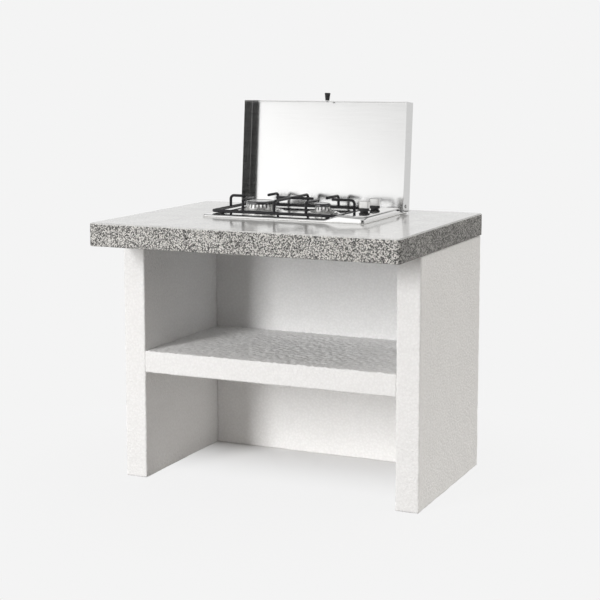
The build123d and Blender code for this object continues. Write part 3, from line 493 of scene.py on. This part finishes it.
def buildBase():
    seat, grain, cell = panels["seat"], panels["grain"], panels["cell"]
    walls = {}
    for side in ("left", "right"):
        low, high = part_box(f"{side}_side_panel")
        walls[side] = (low, high)
        buildPanel(f"{side}_plaster_wall", f"{side}_side_panel", low, high, (plasterWall,), grain, cell)
    innerLeft, innerRight = walls["left"][1].x - seat, walls["right"][0].x + seat
    low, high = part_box("back_panel")
    low.x, high.x = innerLeft, innerRight
    buildPanel("plaster_back", "back_panel", low, high, (plasterWall,), grain, cell)
    low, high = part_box("shelf_slab")
    low.x, high.x = innerLeft, innerRight
    high.y += seat
    buildPanel("plaster_shelf", "shelf_slab", low, high, (plasterWall, plasterShelf), panels["shelfGrain"],
               panels["shelfCell"])


buildBase()
print("slab and panels built")

# pressed hob plate
hob = {
    "cell": 2.4 * mm, "corner": 14 * mm, "sheet": 1.2 * mm, "plateRoll": 3.2 * mm, "deckRoll": 9 * mm,
    "dense": 14.4 * mm, "densest": 0.15, "outlineReach": 1e-5,
    "deckWidth": 84 * mm, "ramp": 19 * mm, "frontRamp": 58 * mm, "frontBlend": 35 * mm, "rearRamp": 14 * mm,
    "deckRise": 15 * mm, "crest": 2.5 * mm, "cornerDrop": 2.5 * mm, "plateRise": 5 * mm, "rearGap": 62 * mm,
    "beadHalf": 8 * mm, "tapHole": 9 * mm,
    # the bead's radius and height round each burner, then the radius of its hole
    "burners": (("large", 70 * mm, 3 * mm, 43 * mm), ("small", 48 * mm, 5 * mm, 20 * mm)),
}


def eased(value, start, end):
    share = min(1.0, max(0.0, (value - start) / (end - start)))
    return share * share * (3 - 2 * share)


burnerSpots = {name: middle(f"{name}_burner_crown") for name in ("large", "small")}


def plateHeight(x, y, low, high):
    deckX = high.x - hob["deckWidth"]
    deckEnd = high.y - hob["rearGap"]
    back = eased(y, low.y, low.y + hob["frontBlend"])  # 0 at the front edge, 1 where the deck is level
    foot = deckX - (hob["frontRamp"] + (hob["ramp"] - hob["frontRamp"]) * back)
    crest = hob["deckRise"] + hob["crest"] * (1 - back)
    edge = hob["deckRise"] - hob["cornerDrop"] * (1 - back)
    rise = crest * eased(x, foot, deckX)
    if x > deckX:
        rise = crest + (edge - crest) * (x - deckX) / hob["deckWidth"]
    rise *= 1 - eased(y, deckEnd - hob["rearRamp"], deckEnd)
    for name, radius, bead, hole in hob["burners"]:
        centre = burnerSpots[name]
        off = (math.hypot(x - centre.x, y - centre.y) - radius) / hob["beadHalf"]
        if abs(off) < 1:
            rise += bead * (1 - off * off)
    return rise


def edgeGap(x, y, centre, half):  # distance in from the plate's rounded outline
    across, along = half.x - abs(x - centre.x), half.y - abs(y - centre.y)
    if across < hob["corner"] and along < hob["corner"]:
        return hob["corner"] - math.hypot(hob["corner"] - across, hob["corner"] - along)
    return min(across, along)


def packed(offset, half):  # grid lines drawn together towards the edge
    inward = half - abs(offset)
    if inward < hob["dense"]:
        inward *= hob["densest"] + (1 - hob["densest"]) * inward / hob["dense"]
    return math.copysign(half - inward, offset)


def buildHob():
    low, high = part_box("hob_plate")
    centre = (low + high) / 2
    size = high - low
    half = size / 2
    corner = hob["corner"]
    cellsX, cellsY = round(size.x / hob["cell"]), round(size.y / hob["cell"])
    bm = bmesh.new()
    bmesh.ops.create_grid(bm, x_segments=cellsX, y_segments=cellsY, size=0.5)
    bmesh.ops.scale(bm, vec=(size.x, size.y, 1), verts=bm.verts)
    bmesh.ops.translate(bm, vec=(centre.x, centre.y, low.z + hob["plateRise"]), verts=bm.verts)
    holes = [(burnerSpots[name], hole) for name, radius, bead, hole in hob["burners"]]
    holes += [(middle(f"{name}_knob_bezel"), hob["tapHole"]) for name in ("front", "rear")]
    for spot, radius in holes:
        gone = [f for f in bm.faces if (f.calc_center_median().xy - spot.xy).length < radius]
        bmesh.ops.delete(bm, geom=gone, context="FACES")
    outer = []
    for edge in bm.edges:
        if not edge.is_boundary:
            continue
        gaps = [min(v.co.x - low.x, high.x - v.co.x, v.co.y - low.y, high.y - v.co.y) for v in edge.verts]
        if max(gaps) < hob["outlineReach"]:
            outer.append(edge)
        else:
            for vert in edge.verts:  # round the holes
                spot, radius = min(holes, key=lambda hole: (vert.co.xy - hole[0].xy).length)
                away = (vert.co.xy - spot.xy).normalized() * radius
                vert.co.x, vert.co.y = spot.x + away.x, spot.y + away.y
    for vert in bm.verts:
        vert.co.x = centre.x + packed(vert.co.x - centre.x, half.x)
        vert.co.y = centre.y + packed(vert.co.y - centre.y, half.y)
        u = max(0.0, abs(vert.co.x - centre.x) - size.x / 2 + corner) / corner
        v = max(0.0, abs(vert.co.y - centre.y) - size.y / 2 + corner) / corner
        if u > 0 and v > 0:  # draw the square corner into a round one
            across = u * math.sqrt(1 - v * v / 2) * corner + size.x / 2 - corner
            along = v * math.sqrt(1 - u * u / 2) * corner + size.y / 2 - corner
            vert.co.x = centre.x + math.copysign(across, vert.co.x - centre.x)
            vert.co.y = centre.y + math.copysign(along, vert.co.y - centre.y)
        rise = plateHeight(vert.co.x, vert.co.y, low, high)
        roll = hob["plateRoll"] + (hob["deckRoll"] - hob["plateRoll"]) * min(1.0, rise / hob["deckRise"])
        inward = min(roll, max(0.0, edgeGap(vert.co.x, vert.co.y, centre, half)))
        vert.co.z += rise - roll + math.sqrt(roll ** 2 - (roll - inward) ** 2)
    grown = bmesh.ops.extrude_edge_only(bm, edges=outer)["geom"]
    for vert in (g for g in grown if isinstance(g, bmesh.types.BMVert)):
        vert.co.z = low.z
    bmesh.ops.recalc_face_normals(bm, faces=bm.faces)
    if max(bm.faces, key=lambda f: f.calc_center_median().z).normal.z < 0:
        bmesh.ops.reverse_faces(bm, faces=bm.faces)
    bmesh.ops.solidify(bm, geom=bm.faces[:], thickness=hob["sheet"])
    addPiece("pressed_hob", bm, "base", (hobSteel,), ("hob_plate",), crease=50)


buildHob()
print("hob plate built")

# lid, bent from one sheet
lid = {
    "reach": 338.2 * mm, "heel": 14 * mm, "rim": 24 * mm, "back": 36.1 * mm, "bend": 1.6 * mm,
    "sheet": 1.2 * mm, "flatArea": 0.002, "flatMargin": 1 * mm, "openFacing": 0.9, "flangeFacing": 0.7,
}
hinge = next(j for j in frame["joints"] if j["name"] == "lid_hinge")
lean = math.radians(abs(hinge["range_deg"][0]) - 90)
lidPlace = Matrix.Translation(hinge["pos_m"]) @ Matrix.Rotation(math.pi / 2 - lean, 4, "X")


def buildLid():
    low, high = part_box("lid_shell")
    bm = block(Vector((low.x, -lid["heel"], -lid["back"])), Vector((high.x, lid["reach"], lid["rim"])))
    facing = lid["openFacing"]
    openSides = [f for f in bm.faces if f.normal.z > facing or f.normal.y < -facing]
    bmesh.ops.delete(bm, geom=openSides, context="FACES")
    bevel(bm, sharpEdges(bm, degrees=60), lid["bend"], segments=5)
    heels = [v for v in bm.verts if v.co.y < 0 and v.co.z > lid["rim"] - mm]
    bevel(bm, heels, lid["heel"], segments=8, affect="VERTICES")
    holdFlats(bm, lid["flatArea"], lid["flatMargin"])
    bmesh.ops.recalc_face_normals(bm, faces=bm.faces)
    if max(bm.faces, key=lambda f: f.calc_area()).normal.z > 0:
        bmesh.ops.reverse_faces(bm, faces=bm.faces)
    for face in bm.faces:
        # the side flanges take the darker steel as painted shade
        face.material_index = 1 if abs(face.normal.x) > lid["flangeFacing"] else 0
    bmesh.ops.solidify(bm, geom=bm.faces[:], thickness=lid["sheet"])
    bmesh.ops.transform(bm, matrix=lidPlace, verts=bm.verts)
    addPiece("folded_lid", bm, "lid", (lidSteel, flangeSteelShaded), ("lid_shell",))


buildLid()

lidKnob = {
    "base": 6.5 * mm, "end": 9.8 * mm, "length": 25 * mm, "collar": 2 * mm, "ease": 1.2 * mm,
    "dish": 0.8 * mm, "dishEdge": 0.6, "dishFloor": 0.5,
    "groove": 0.6 * mm, "grooveStep": 0.1 * mm, "grooveShares": (0.55, 0.68),
}


def buildLidKnob():
    base, end, groove, ease = lidKnob["base"], lidKnob["end"], lidKnob["groove"], lidKnob["ease"]
    start = lid["reach"] + lidKnob["collar"]
    top = start + lidKnob["length"]
    floor = top - lidKnob["dish"]
    slope = (end - base) / lidKnob["length"]
    profile = [(0, start), (base, start)]
    for share in lidKnob["grooveShares"]:  # two turned grip lines
        z = start + share * lidKnob["length"]
        radius = base + slope * share * lidKnob["length"]
        profile += [(radius - lidKnob["grooveStep"], z - groove), (radius - groove, z), (radius, z + groove)]
    profile += [(end, top - ease), (end - ease, top), (lidKnob["dishEdge"] * end, top),
                (lidKnob["dishFloor"] * end, floor), (0, floor)]
    bm = turned(profile, Vector(), steps=48)
    level = (lid["rim"] - lid["back"]) / 2
    stand = Matrix.Translation((0, 0, level)) @ Matrix.Rotation(-math.pi / 2, 4, "X")
    bmesh.ops.transform(bm, matrix=lidPlace @ stand, verts=bm.verts)
    addPiece("lid_handle", bm, "lid", (blackPlastic,), ("lid_knob",))


buildLidKnob()
print("lid built")

# wire work
wire = {"domeTurns": ((35, 0), (65, 35), (85, 65)), "bendSteps": 7, "weldFlat": 0.8}


def pushRing(bm, edges, move):
    grown = bmesh.ops.extrude_edge_only(bm, edges=edges)["geom"]
    verts = [g for g in grown if isinstance(g, bmesh.types.BMVert)]
    bmesh.ops.translate(bm, vec=move, verts=verts)
    return [g for g in grown if isinstance(g, bmesh.types.BMEdge) and all(v in verts for v in g.verts)]


def closeRing(bm, edges, ahead, radius):  # a domed end, in steps of the turn in degrees
    for turn, before in wire["domeTurns"]:
        step = radius * (math.sin(math.radians(turn)) - math.sin(math.radians(before)))
        edges = pushRing(bm, edges, ahead * step)
        verts = list(dict.fromkeys(v for e in edges for v in e.verts))
        centre = sum((v.co for v in verts), Vector()) / len(verts)
        ratio = math.cos(math.radians(turn)) / math.cos(math.radians(before))
        bmesh.ops.scale(bm, vec=(ratio, ratio, ratio), space=Matrix.Translation(-centre), verts=verts)
    bmesh.ops.contextual_create(bm, geom=edges)


def wireRun(bm, points, radius, bend, sides=14, domed=(False, True)):
    points = [Vector(p) for p in points]
    ahead = (points[1] - points[0]).normalized()
    ring = bmesh.ops.create_circle(bm, segments=sides, radius=radius)["verts"]
    face = ahead.to_track_quat("Z", "Y").to_matrix().to_4x4()
    bmesh.ops.transform(bm, matrix=Matrix.Translation(points[0]) @ face, verts=ring)
    edges = list(dict.fromkeys(e for v in ring for e in v.link_edges))
    if domed[0]:
        closeRing(bm, edges, -ahead, radius)
    place = points[0]
    for corner, after in zip(points[1:-1], points[2:]):
        onward = (after - corner).normalized()
        angle = ahead.angle(onward)
        back = bend * math.tan(angle / 2)
        edges = pushRing(bm, edges, corner - ahead * back - place)
        inward = (onward - ahead * ahead.dot(onward)).normalized()
        pivot = corner - ahead * back + inward * bend
        swept = bmesh.ops.spin(bm, geom=edges, cent=pivot, axis=ahead.cross(onward), angle=angle,
                               steps=wire["bendSteps"], use_duplicate=False)["geom_last"]
        edges = [g for g in swept if isinstance(g, bmesh.types.BMEdge)]
        place = corner + onward * back
        ahead = onward
    edges = pushRing(bm, edges, points[-1] - place)
    if domed[1]:
        closeRing(bm, edges, ahead, radius)


def weld(bm, spot, radius):
    made = bmesh.ops.create_icosphere(bm, subdivisions=2, radius=radius)["verts"]
    bmesh.ops.scale(bm, vec=(1, 1, wire["weldFlat"]), verts=made)
    bmesh.ops.translate(bm, vec=spot, verts=made)


# pan support
pan = {"rail": 5 * mm, "railSides": 16, "finger": 4.6 * mm, "bend": 12 * mm, "corner": 14 * mm,
       "largeTip": 59.6 * mm, "smallTip": 35.6 * mm, "weld": 6 * mm}


def buildPanSupport():
    low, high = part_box("pan_support")
    rail, finger, bend = pan["rail"], pan["finger"], pan["bend"]
    left, right, front, back = low.x + rail, high.x - rail, low.y + rail, high.y - rail
    railZ, topZ = low.z + rail, high.z - finger
    large, small = burnerSpots["large"], burnerSpots["small"]
    halfway = (large.x + small.x) / 2
    bm = bmesh.new()
    start = (left + right) / 2
    loop = ((start, front), (right, front), (right, back), (left, back), (left, front), (start, front))
    wireRun(bm, [(x, y, railZ) for x, y in loop], rail, pan["corner"], pan["railSides"], (False, False))
    fingers = []
    for crown, tip in ((large, pan["largeTip"]), (small, pan["smallTip"])):
        for y, turn in ((front, -1), (back, 1)):
            fingers.append((crown.x, y, crown.x, crown.y + turn * tip))
    fingers.append((left, large.y, large.x - pan["largeTip"], large.y))
    fingers.append((right, small.y, small.x + pan["smallTip"], small.y))
    for footX, footY, tipX, tipY in fingers:
        wireRun(bm, [(footX, footY, railZ), (footX, footY, topZ), (tipX, tipY, topZ)], finger, bend)
        weld(bm, (footX, footY, railZ), pan["weld"])
    bridge = [(halfway, front, railZ), (halfway, front, topZ), (halfway, back, topZ), (halfway, back, railZ)]
    wireRun(bm, bridge, finger, bend)
    cross = [(large.x + pan["largeTip"], large.y, topZ), (small.x - pan["smallTip"], small.y, topZ)]
    wireRun(bm, cross, finger, bend, domed=(True, True))
    for spot in (bridge[0], bridge[-1], (halfway, large.y, topZ)):
        weld(bm, spot, pan["weld"])
    bmesh.ops.remove_doubles(bm, verts=bm.verts, dist=touching)
    bmesh.ops.recalc_face_normals(bm, faces=bm.faces)
    addPiece("wire_pan_support", bm, "pan_grid", (blackEnamel,), ("pan_support",), crease=50)


buildPanSupport()
print("pan support built")

# burners
burner = {
    "large": {"ports": 24, "bore": 33.2 * mm, "spigot": 38.2 * mm},
    "small": {"ports": 14, "bore": 10.2 * mm, "spigot": 15.2 * mm},
    "wall": 5 * mm, "spigotDepth": 8 * mm, "portHeight": 10 * mm, "perPort": 5, "open": 2,
    "topFacing": 0.9, "topReach": 1e-5,
    "capEdge": 3.5 * mm, "capRound": 1.2 * mm, "capLip": 3 * mm, "lipGap": 0.5 * mm,
    "dish": 0.9 * mm, "dishShare": 0.74, "dishSlope": 1.5 * mm,
}


def buildCrown(size):
    low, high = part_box(f"{size}_burner_crown")
    centre = (low + high) / 2
    outer, ease = (high.x - low.x) / 2, burner["wall"] / 2
    seat, ledge = low.z + burner["spigotDepth"], high.z - burner["portHeight"]
    bore, spigot = burner[size]["bore"], burner[size]["spigot"]
    profile = [(bore, low.z), (spigot, low.z), (spigot, seat), (outer - ease, seat), (outer, seat + ease),
               (outer, ledge), (outer - ease, high.z), (bore, high.z)]
    steps = burner[size]["ports"] * burner["perPort"]
    bm = turned(profile, centre, steps, closed=True)
    bm.normal_update()

    def sector(spot):  # how many sectors round from +X, in fractions
        away = spot - centre
        return (math.atan2(away.y, away.x) % (2 * math.pi)) / (2 * math.pi / steps)

    tops, bands = [], []
    for face in bm.faces:
        spot = face.calc_center_median()
        if int(sector(spot)) % burner["perPort"] >= burner["open"]:
            continue
        if face.normal.z > burner["topFacing"] and spot.z > high.z - burner["topReach"]:
            tops.append(face)
        elif face.normal.z < burner["topFacing"] and spot.z > ledge:
            if (spot - centre).xy.length > outer - burner["wall"]:
                bands.append(face)
    bmesh.ops.delete(bm, geom=bands, context="FACES")
    floors = bmesh.ops.extrude_discrete_faces(bm, faces=tops)["faces"]
    gone = []
    for floor in floors:
        for edge in floor.edges:
            spots = [(v.co - centre).xy.length for v in edge.verts]
            mouth = abs(spots[0] - spots[1]) < touching and spots[0] > bore + mm
            spoke = round(sector((edge.verts[0].co + edge.verts[1].co) / 2)) % burner["perPort"]
            inner = abs(spots[0] - spots[1]) > touching and 0 < spoke < burner["open"]
            if mouth or inner:  # the port stays open in front and across its sectors
                gone += [f for f in edge.link_faces if f is not floor]
        for vert in floor.verts:
            vert.co.z = ledge
            away = (vert.co - centre).xy
            if away.length > bore + mm:
                away = away.normalized() * outer
                vert.co.x, vert.co.y = centre.x + away.x, centre.y + away.y
    bmesh.ops.delete(bm, geom=list(dict.fromkeys(gone)), context="FACES")
    bmesh.ops.remove_doubles(bm, verts=bm.verts, dist=touching)
    bmesh.ops.recalc_face_normals(bm, faces=bm.faces)
    addPiece(f"{size}_flame_crown", bm, f"{size}_crown", (castAluminium,),
             (f"{size}_burner_crown",))


def buildCap(size):
    low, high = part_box(f"{size}_burner_cap")
    centre = (low + high) / 2
    outer, seat = (high.x - low.x) / 2, low.z + burner["capLip"]
    edge, floor = burner["capEdge"], high.z - burner["dish"]
    lip = burner[size]["bore"] - burner["lipGap"]
    dish = outer * burner["dishShare"]
    profile = [(0, floor), (dish, floor), (dish + burner["dishSlope"], high.z), (outer - edge, high.z),
               (outer, high.z - edge), (outer, seat), (lip, seat), (lip, low.z), (0, low.z)]
    bm = turned(profile, centre, steps=72)
    rings = [e for e in sharpEdges(bm, degrees=25) if e.verts[0].co.z > seat + mm]
    bevel(bm, rings, burner["capRound"], segments=3)
    addPiece(f"{size}_enamel_cap", bm, f"{size}_cap", (capEnamel,), (f"{size}_burner_cap",))


for size in ("large", "small"):
    buildCrown(size)
    buildCap(size)
print("burners built")

# knobs
knob = {
    "hollow": 3 * mm, "wall": 2.5 * mm, "foot": 2 * mm, "topRadius": 15.5 * mm, "ease": 1.2 * mm,
    "gripRound": 0.49, "gripEase": 2 * mm,
    "mark": (9 * mm, 1.4 * mm, 0.5 * mm), "markInset": 3 * mm, "markProud": 0.15 * mm, "markRound": 0.45,
}


def buildKnob(spot):
    body = f"{spot}_knob"
    low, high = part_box(f"{spot}_knob_skirt")
    centre = (low + high) / 2
    outer = (high.x - low.x) / 2
    inner, roof = outer - knob["wall"], low.z + knob["hollow"]
    profile = [(0, roof), (inner, roof), (inner, low.z), (outer, low.z), (outer, low.z + knob["foot"]),
               (knob["topRadius"], high.z), (0, high.z)]
    bm = turned(profile, centre, steps=64)
    rings = [e for e in sharpEdges(bm, degrees=40) if e.verts[0].co.z > high.z - mm]
    bevel(bm, rings, knob["ease"], segments=3)
    addPiece(f"{spot}_skirt", bm, body, (blackPlastic,), (f"{spot}_knob_skirt",))
    low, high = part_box(f"{spot}_knob_grip")
    bm = block(low, high)
    bevel(bm, edgesAlong(bm, axis=2), knob["gripRound"] * (high.y - low.y), segments=10)
    bevel(bm, edgesAtLevel(bm, high.z), knob["gripEase"], segments=4)
    addPiece(f"{spot}_grip", bm, body, (satinSilver,), (f"{spot}_knob_grip",))
    long, wide, deep = knob["mark"]
    start = Vector((low.x + knob["markInset"], centre.y - wide / 2, high.z - deep))
    bm = block(start, start + Vector((long, wide, deep + knob["markProud"])))
    bevel(bm, edgesAlong(bm, axis=2), knob["markRound"] * wide, segments=5)
    addPiece(f"{spot}_mark", bm, body, (markPaint,))


for spot in ("front", "rear"):
    buildKnob(spot)
print("knobs built")

# hinge pins with domed heads
pin = {"radius": 3 * mm, "headRadius": 6 * mm, "head": 2.5 * mm, "headEdge": 0.9 * mm,
       "domeDrop": 0.4 * mm, "domeShare": 0.72, "flatShare": 0.4}


def buildPin(side, way):
    low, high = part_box(f"{side}_hinge_pin")
    centre = (low + high) / 2
    length = high.x - low.x
    headStart = length - pin["head"]
    radius, head = pin["radius"], pin["headRadius"]
    profile = [(0, 0), (radius, 0), (radius, headStart), (head, headStart),
               (head, headStart + pin["headEdge"]), (pin["domeShare"] * head, length - pin["domeDrop"]),
               (pin["flatShare"] * head, length), (0, length)]
    bm = turned(profile, Vector(), steps=40)
    inner = high.x if way < 0 else low.x
    stand = Matrix.Translation((inner, centre.y, centre.z)) @ Matrix.Rotation(way * math.pi / 2, 4, "Y")
    bmesh.ops.transform(bm, matrix=stand, verts=bm.verts)
    addPiece(f"{side}_domed_pin", bm, "base", (hingeSteel,), (f"{side}_hinge_pin",))


for side, way in (("left", -1), ("right", 1)):
    buildPin(side, way)
print("hinges built")

# floor: the backdrop's tone to the eye, with a faint shadow and a deep one between the walls
floorLook = {
    "half": 30.0, "drop": 0.2 * mm, "backdrop": 0.905, "shade": 0.86,
    "shadowShare": 0.06, "shadowReach": (0.6, 1.2),
    "bayHalf": 0.45, "bayBack": 0.36, "bayMouth": -0.15, "bayDepth": (-0.2, 0.3), "bayPower": 2.0,
    "bayBounce": (0.98, 0.96, 0.935), "nearBounce": (0.4, 0.392, 0.384), "farBounce": (0.2, 0.19, 0.18),
    "bounceReach": (0.9, 1.7),
}


def buildFloor():
    bm = bmesh.new()
    bmesh.ops.create_grid(bm, x_segments=1, y_segments=1, size=floorLook["half"])
    mesh = bpy.data.meshes.new("floor")
    bm.to_mesh(mesh)
    bm.free()
    floor = bpy.data.objects.new("floor", mesh)
    floor.location.z = -floorLook["drop"]
    bpy.context.scene.collection.objects.link(floor)
    finish = bpy.data.materials.new("pale_floor")
    finish.use_nodes = True
    tree = finish.node_tree
    tree.nodes.clear()
    place = objectCoords(tree)
    radial = addNode(tree, "ShaderNodeVectorMath", operation="LENGTH")
    tree.links.new(place, radial.inputs[0])
    distance = radial.outputs["Value"]
    split = addNode(tree, "ShaderNodeSeparateXYZ")
    tree.links.new(place, split.inputs[0])
    x, y = split.outputs["X"], split.outputs["Y"]
    between = maths(tree, "LESS_THAN", maths(tree, "ABSOLUTE", x), floorLook["bayHalf"])
    between = maths(tree, "MULTIPLY", between, maths(tree, "LESS_THAN", y, floorLook["bayBack"]))
    # what the part receives from the floor
    inBay = maths(tree, "MULTIPLY", between, maths(tree, "GREATER_THAN", y, floorLook["bayMouth"]))
    reach = mapRange(tree, distance, floorLook["bounceReach"])
    outside = mixColour(tree, reach, floorLook["nearBounce"], floorLook["farBounce"])
    bounce = addNode(tree, "ShaderNodeBsdfDiffuse")
    tree.links.new(mixColour(tree, inBay, outside, floorLook["bayBounce"]), bounce.inputs["Color"])
    # what the camera and mirrored rays see of it
    fade = mapRange(tree, distance, floorLook["shadowReach"], "SMOOTHSTEP", (floorLook["shadowShare"], 0.0))
    deep = maths(tree, "POWER", mapRange(tree, y, floorLook["bayDepth"]), floorLook["bayPower"])
    shadow = maths(tree, "MAXIMUM", fade, maths(tree, "MULTIPLY", between, deep))
    glow = addNode(tree, "ShaderNodeEmission", Color=(*grey(floorLook["backdrop"]), 1))
    shaded = addNode(tree, "ShaderNodeBsdfDiffuse", Color=(*grey(floorLook["shade"]), 1))
    look = mixShader(tree, shadow, glow, shaded)
    path = addNode(tree, "ShaderNodeLightPath")
    seen = maths(tree, "MAXIMUM", path.outputs["Is Camera Ray"], path.outputs["Is Glossy Ray"])
    out = addNode(tree, "ShaderNodeOutputMaterial")
    tree.links.new(mixShader(tree, seen, bounce, look).outputs[0], out.inputs["Surface"])
    mesh.materials.append(finish)


# surround: a soft dome for light, a graded room for mirrored rays, a plain tone behind
surround = {
    "glow": (-0.6, 0.0, -0.8), "mirrorLevel": 1.5, "frontGate": (0.15, 0.65), "upperGate": (0.17, 0.23),
    "front": ((0.425, grey(0.02)), (0.485, grey(0.07)), (0.52, grey(0.4)), (0.546, grey(0.66)),
              (0.561, grey(0.75)), (0.575, grey(0.93)), (0.59, grey(1.02))),
    "upper": ((0.22, grey(0.9)), (0.46, grey(0.9)), (0.6, grey(0.14)), (0.76, grey(0.18)),
              (0.94, grey(0.38))),
    "sky": ((0.0, grey(0.603)), (0.2, grey(0.603)), (0.3, grey(0.1)), (0.42, grey(0.1)), (0.62, grey(0.3)),
            (0.9, grey(0.38))),
    "fillGate": (-0.1, 0.35),
    "fill": ((0.16, (0.04, 0.03, 0.02)), (0.34, (0.52, 0.5, 0.48)), (0.65, (0.52, 0.505, 0.49))),
    "fillBack": ((0.3, (0.6, 0.588, 0.57)), (0.9, (1.66, 1.635, 1.58))),
}


def buildWorld():
    world = bpy.data.worlds.new("studio")
    bpy.context.scene.world = world
    world.use_nodes = True
    tree = world.node_tree
    tree.nodes.clear()
    look = addNode(tree, "ShaderNodeTexCoord").outputs["Generated"]
    side = addNode(tree, "ShaderNodeVectorMath", operation="DOT_PRODUCT")
    side.inputs[1].default_value = surround["glow"]
    tree.links.new(look, side.inputs[0])
    split = addNode(tree, "ShaderNodeSeparateXYZ")
    tree.links.new(look, split.inputs[0])
    height, forward = split.outputs["Z"], maths(tree, "MULTIPLY", split.outputs["Y"], -1.0)
    # the room that the steel mirrors
    spread = maths(tree, "MULTIPLY_ADD", side.outputs["Value"], 0.5, 0.5)
    lift = mapRange(tree, height, surround["upperGate"], "SMOOTHSTEP")
    upper = colourRamp(tree, height, surround["upper"])
    front = mixColour(tree, lift, colourRamp(tree, spread, surround["front"]), upper)
    gate = mapRange(tree, forward, surround["frontGate"], "SMOOTHSTEP")
    sky = colourRamp(tree, height, surround["sky"])
    mirrored = addNode(tree, "ShaderNodeBackground", Strength=surround["mirrorLevel"])
    tree.links.new(mixColour(tree, gate, sky, front), mirrored.inputs["Color"])
    # the light that falls on the part
    across = maths(tree, "MULTIPLY_ADD", split.outputs["X"], 0.5, 0.5)
    behind = colourRamp(tree, across, surround["fillBack"])
    soft = mapRange(tree, forward, surround["fillGate"], "SMOOTHSTEP")
    fill = colourRamp(tree, height, surround["fill"])
    dome = addNode(tree, "ShaderNodeBackground")
    tree.links.new(mixColour(tree, soft, behind, fill), dome.inputs["Color"])
    plain = addNode(tree, "ShaderNodeBackground", Color=(*grey(floorLook["backdrop"]), 1))
    path = addNode(tree, "ShaderNodeLightPath")
    last = dome
    for ray, seen in (("Is Glossy Ray", mirrored), ("Is Camera Ray", plain)):
        last = mixShader(tree, path.outputs[ray], last, seen)
    out = addNode(tree, "ShaderNodeOutputWorld")
    tree.links.new(last.outputs[0], out.inputs["Surface"])


# a broad key light from the front left
keyLight = {"place": (-2.62, -6.4, 2.3), "size": (1.45, 3.6), "power": 372.0, "aim": (0.0, 0.0, 0.6)}


def buildKey():
    lamp = bpy.data.lights.new("key", "AREA")
    lamp.shape = "RECTANGLE"
    lamp.size, lamp.size_y = keyLight["size"]
    lamp.energy = keyLight["power"]
    key = bpy.data.objects.new("key", lamp)
    key.location = keyLight["place"]
    aim = Vector(keyLight["aim"]) - key.location
    key.rotation_euler = aim.to_track_quat("-Z", "Y").to_euler()
    key.visible_glossy = False
    key.visible_camera = False
    bpy.context.scene.collection.objects.link(key)


buildFloor()
buildWorld()
buildKey()

# camera at the photograph's place
view = {"place": (1.9035, -4.1739, 1.3449), "pitch": 0.1297, "yaw": 0.4222, "sensor": 36.0, "lens": 87.107,
        "shift": -0.0833}


def buildCamera():
    data = bpy.data.cameras.new("camera")
    data.sensor_width = view["sensor"]
    data.lens = view["lens"]
    data.shift_y = view["shift"]
    camera = bpy.data.objects.new("camera", data)
    camera.location = view["place"]
    camera.rotation_euler = (math.pi / 2 - view["pitch"], 0, view["yaw"])
    bpy.context.scene.collection.objects.link(camera)
    bpy.context.scene.camera = camera


buildCamera()
bpy.context.scene.view_settings.view_transform = "Standard"
print("studio and camera set")
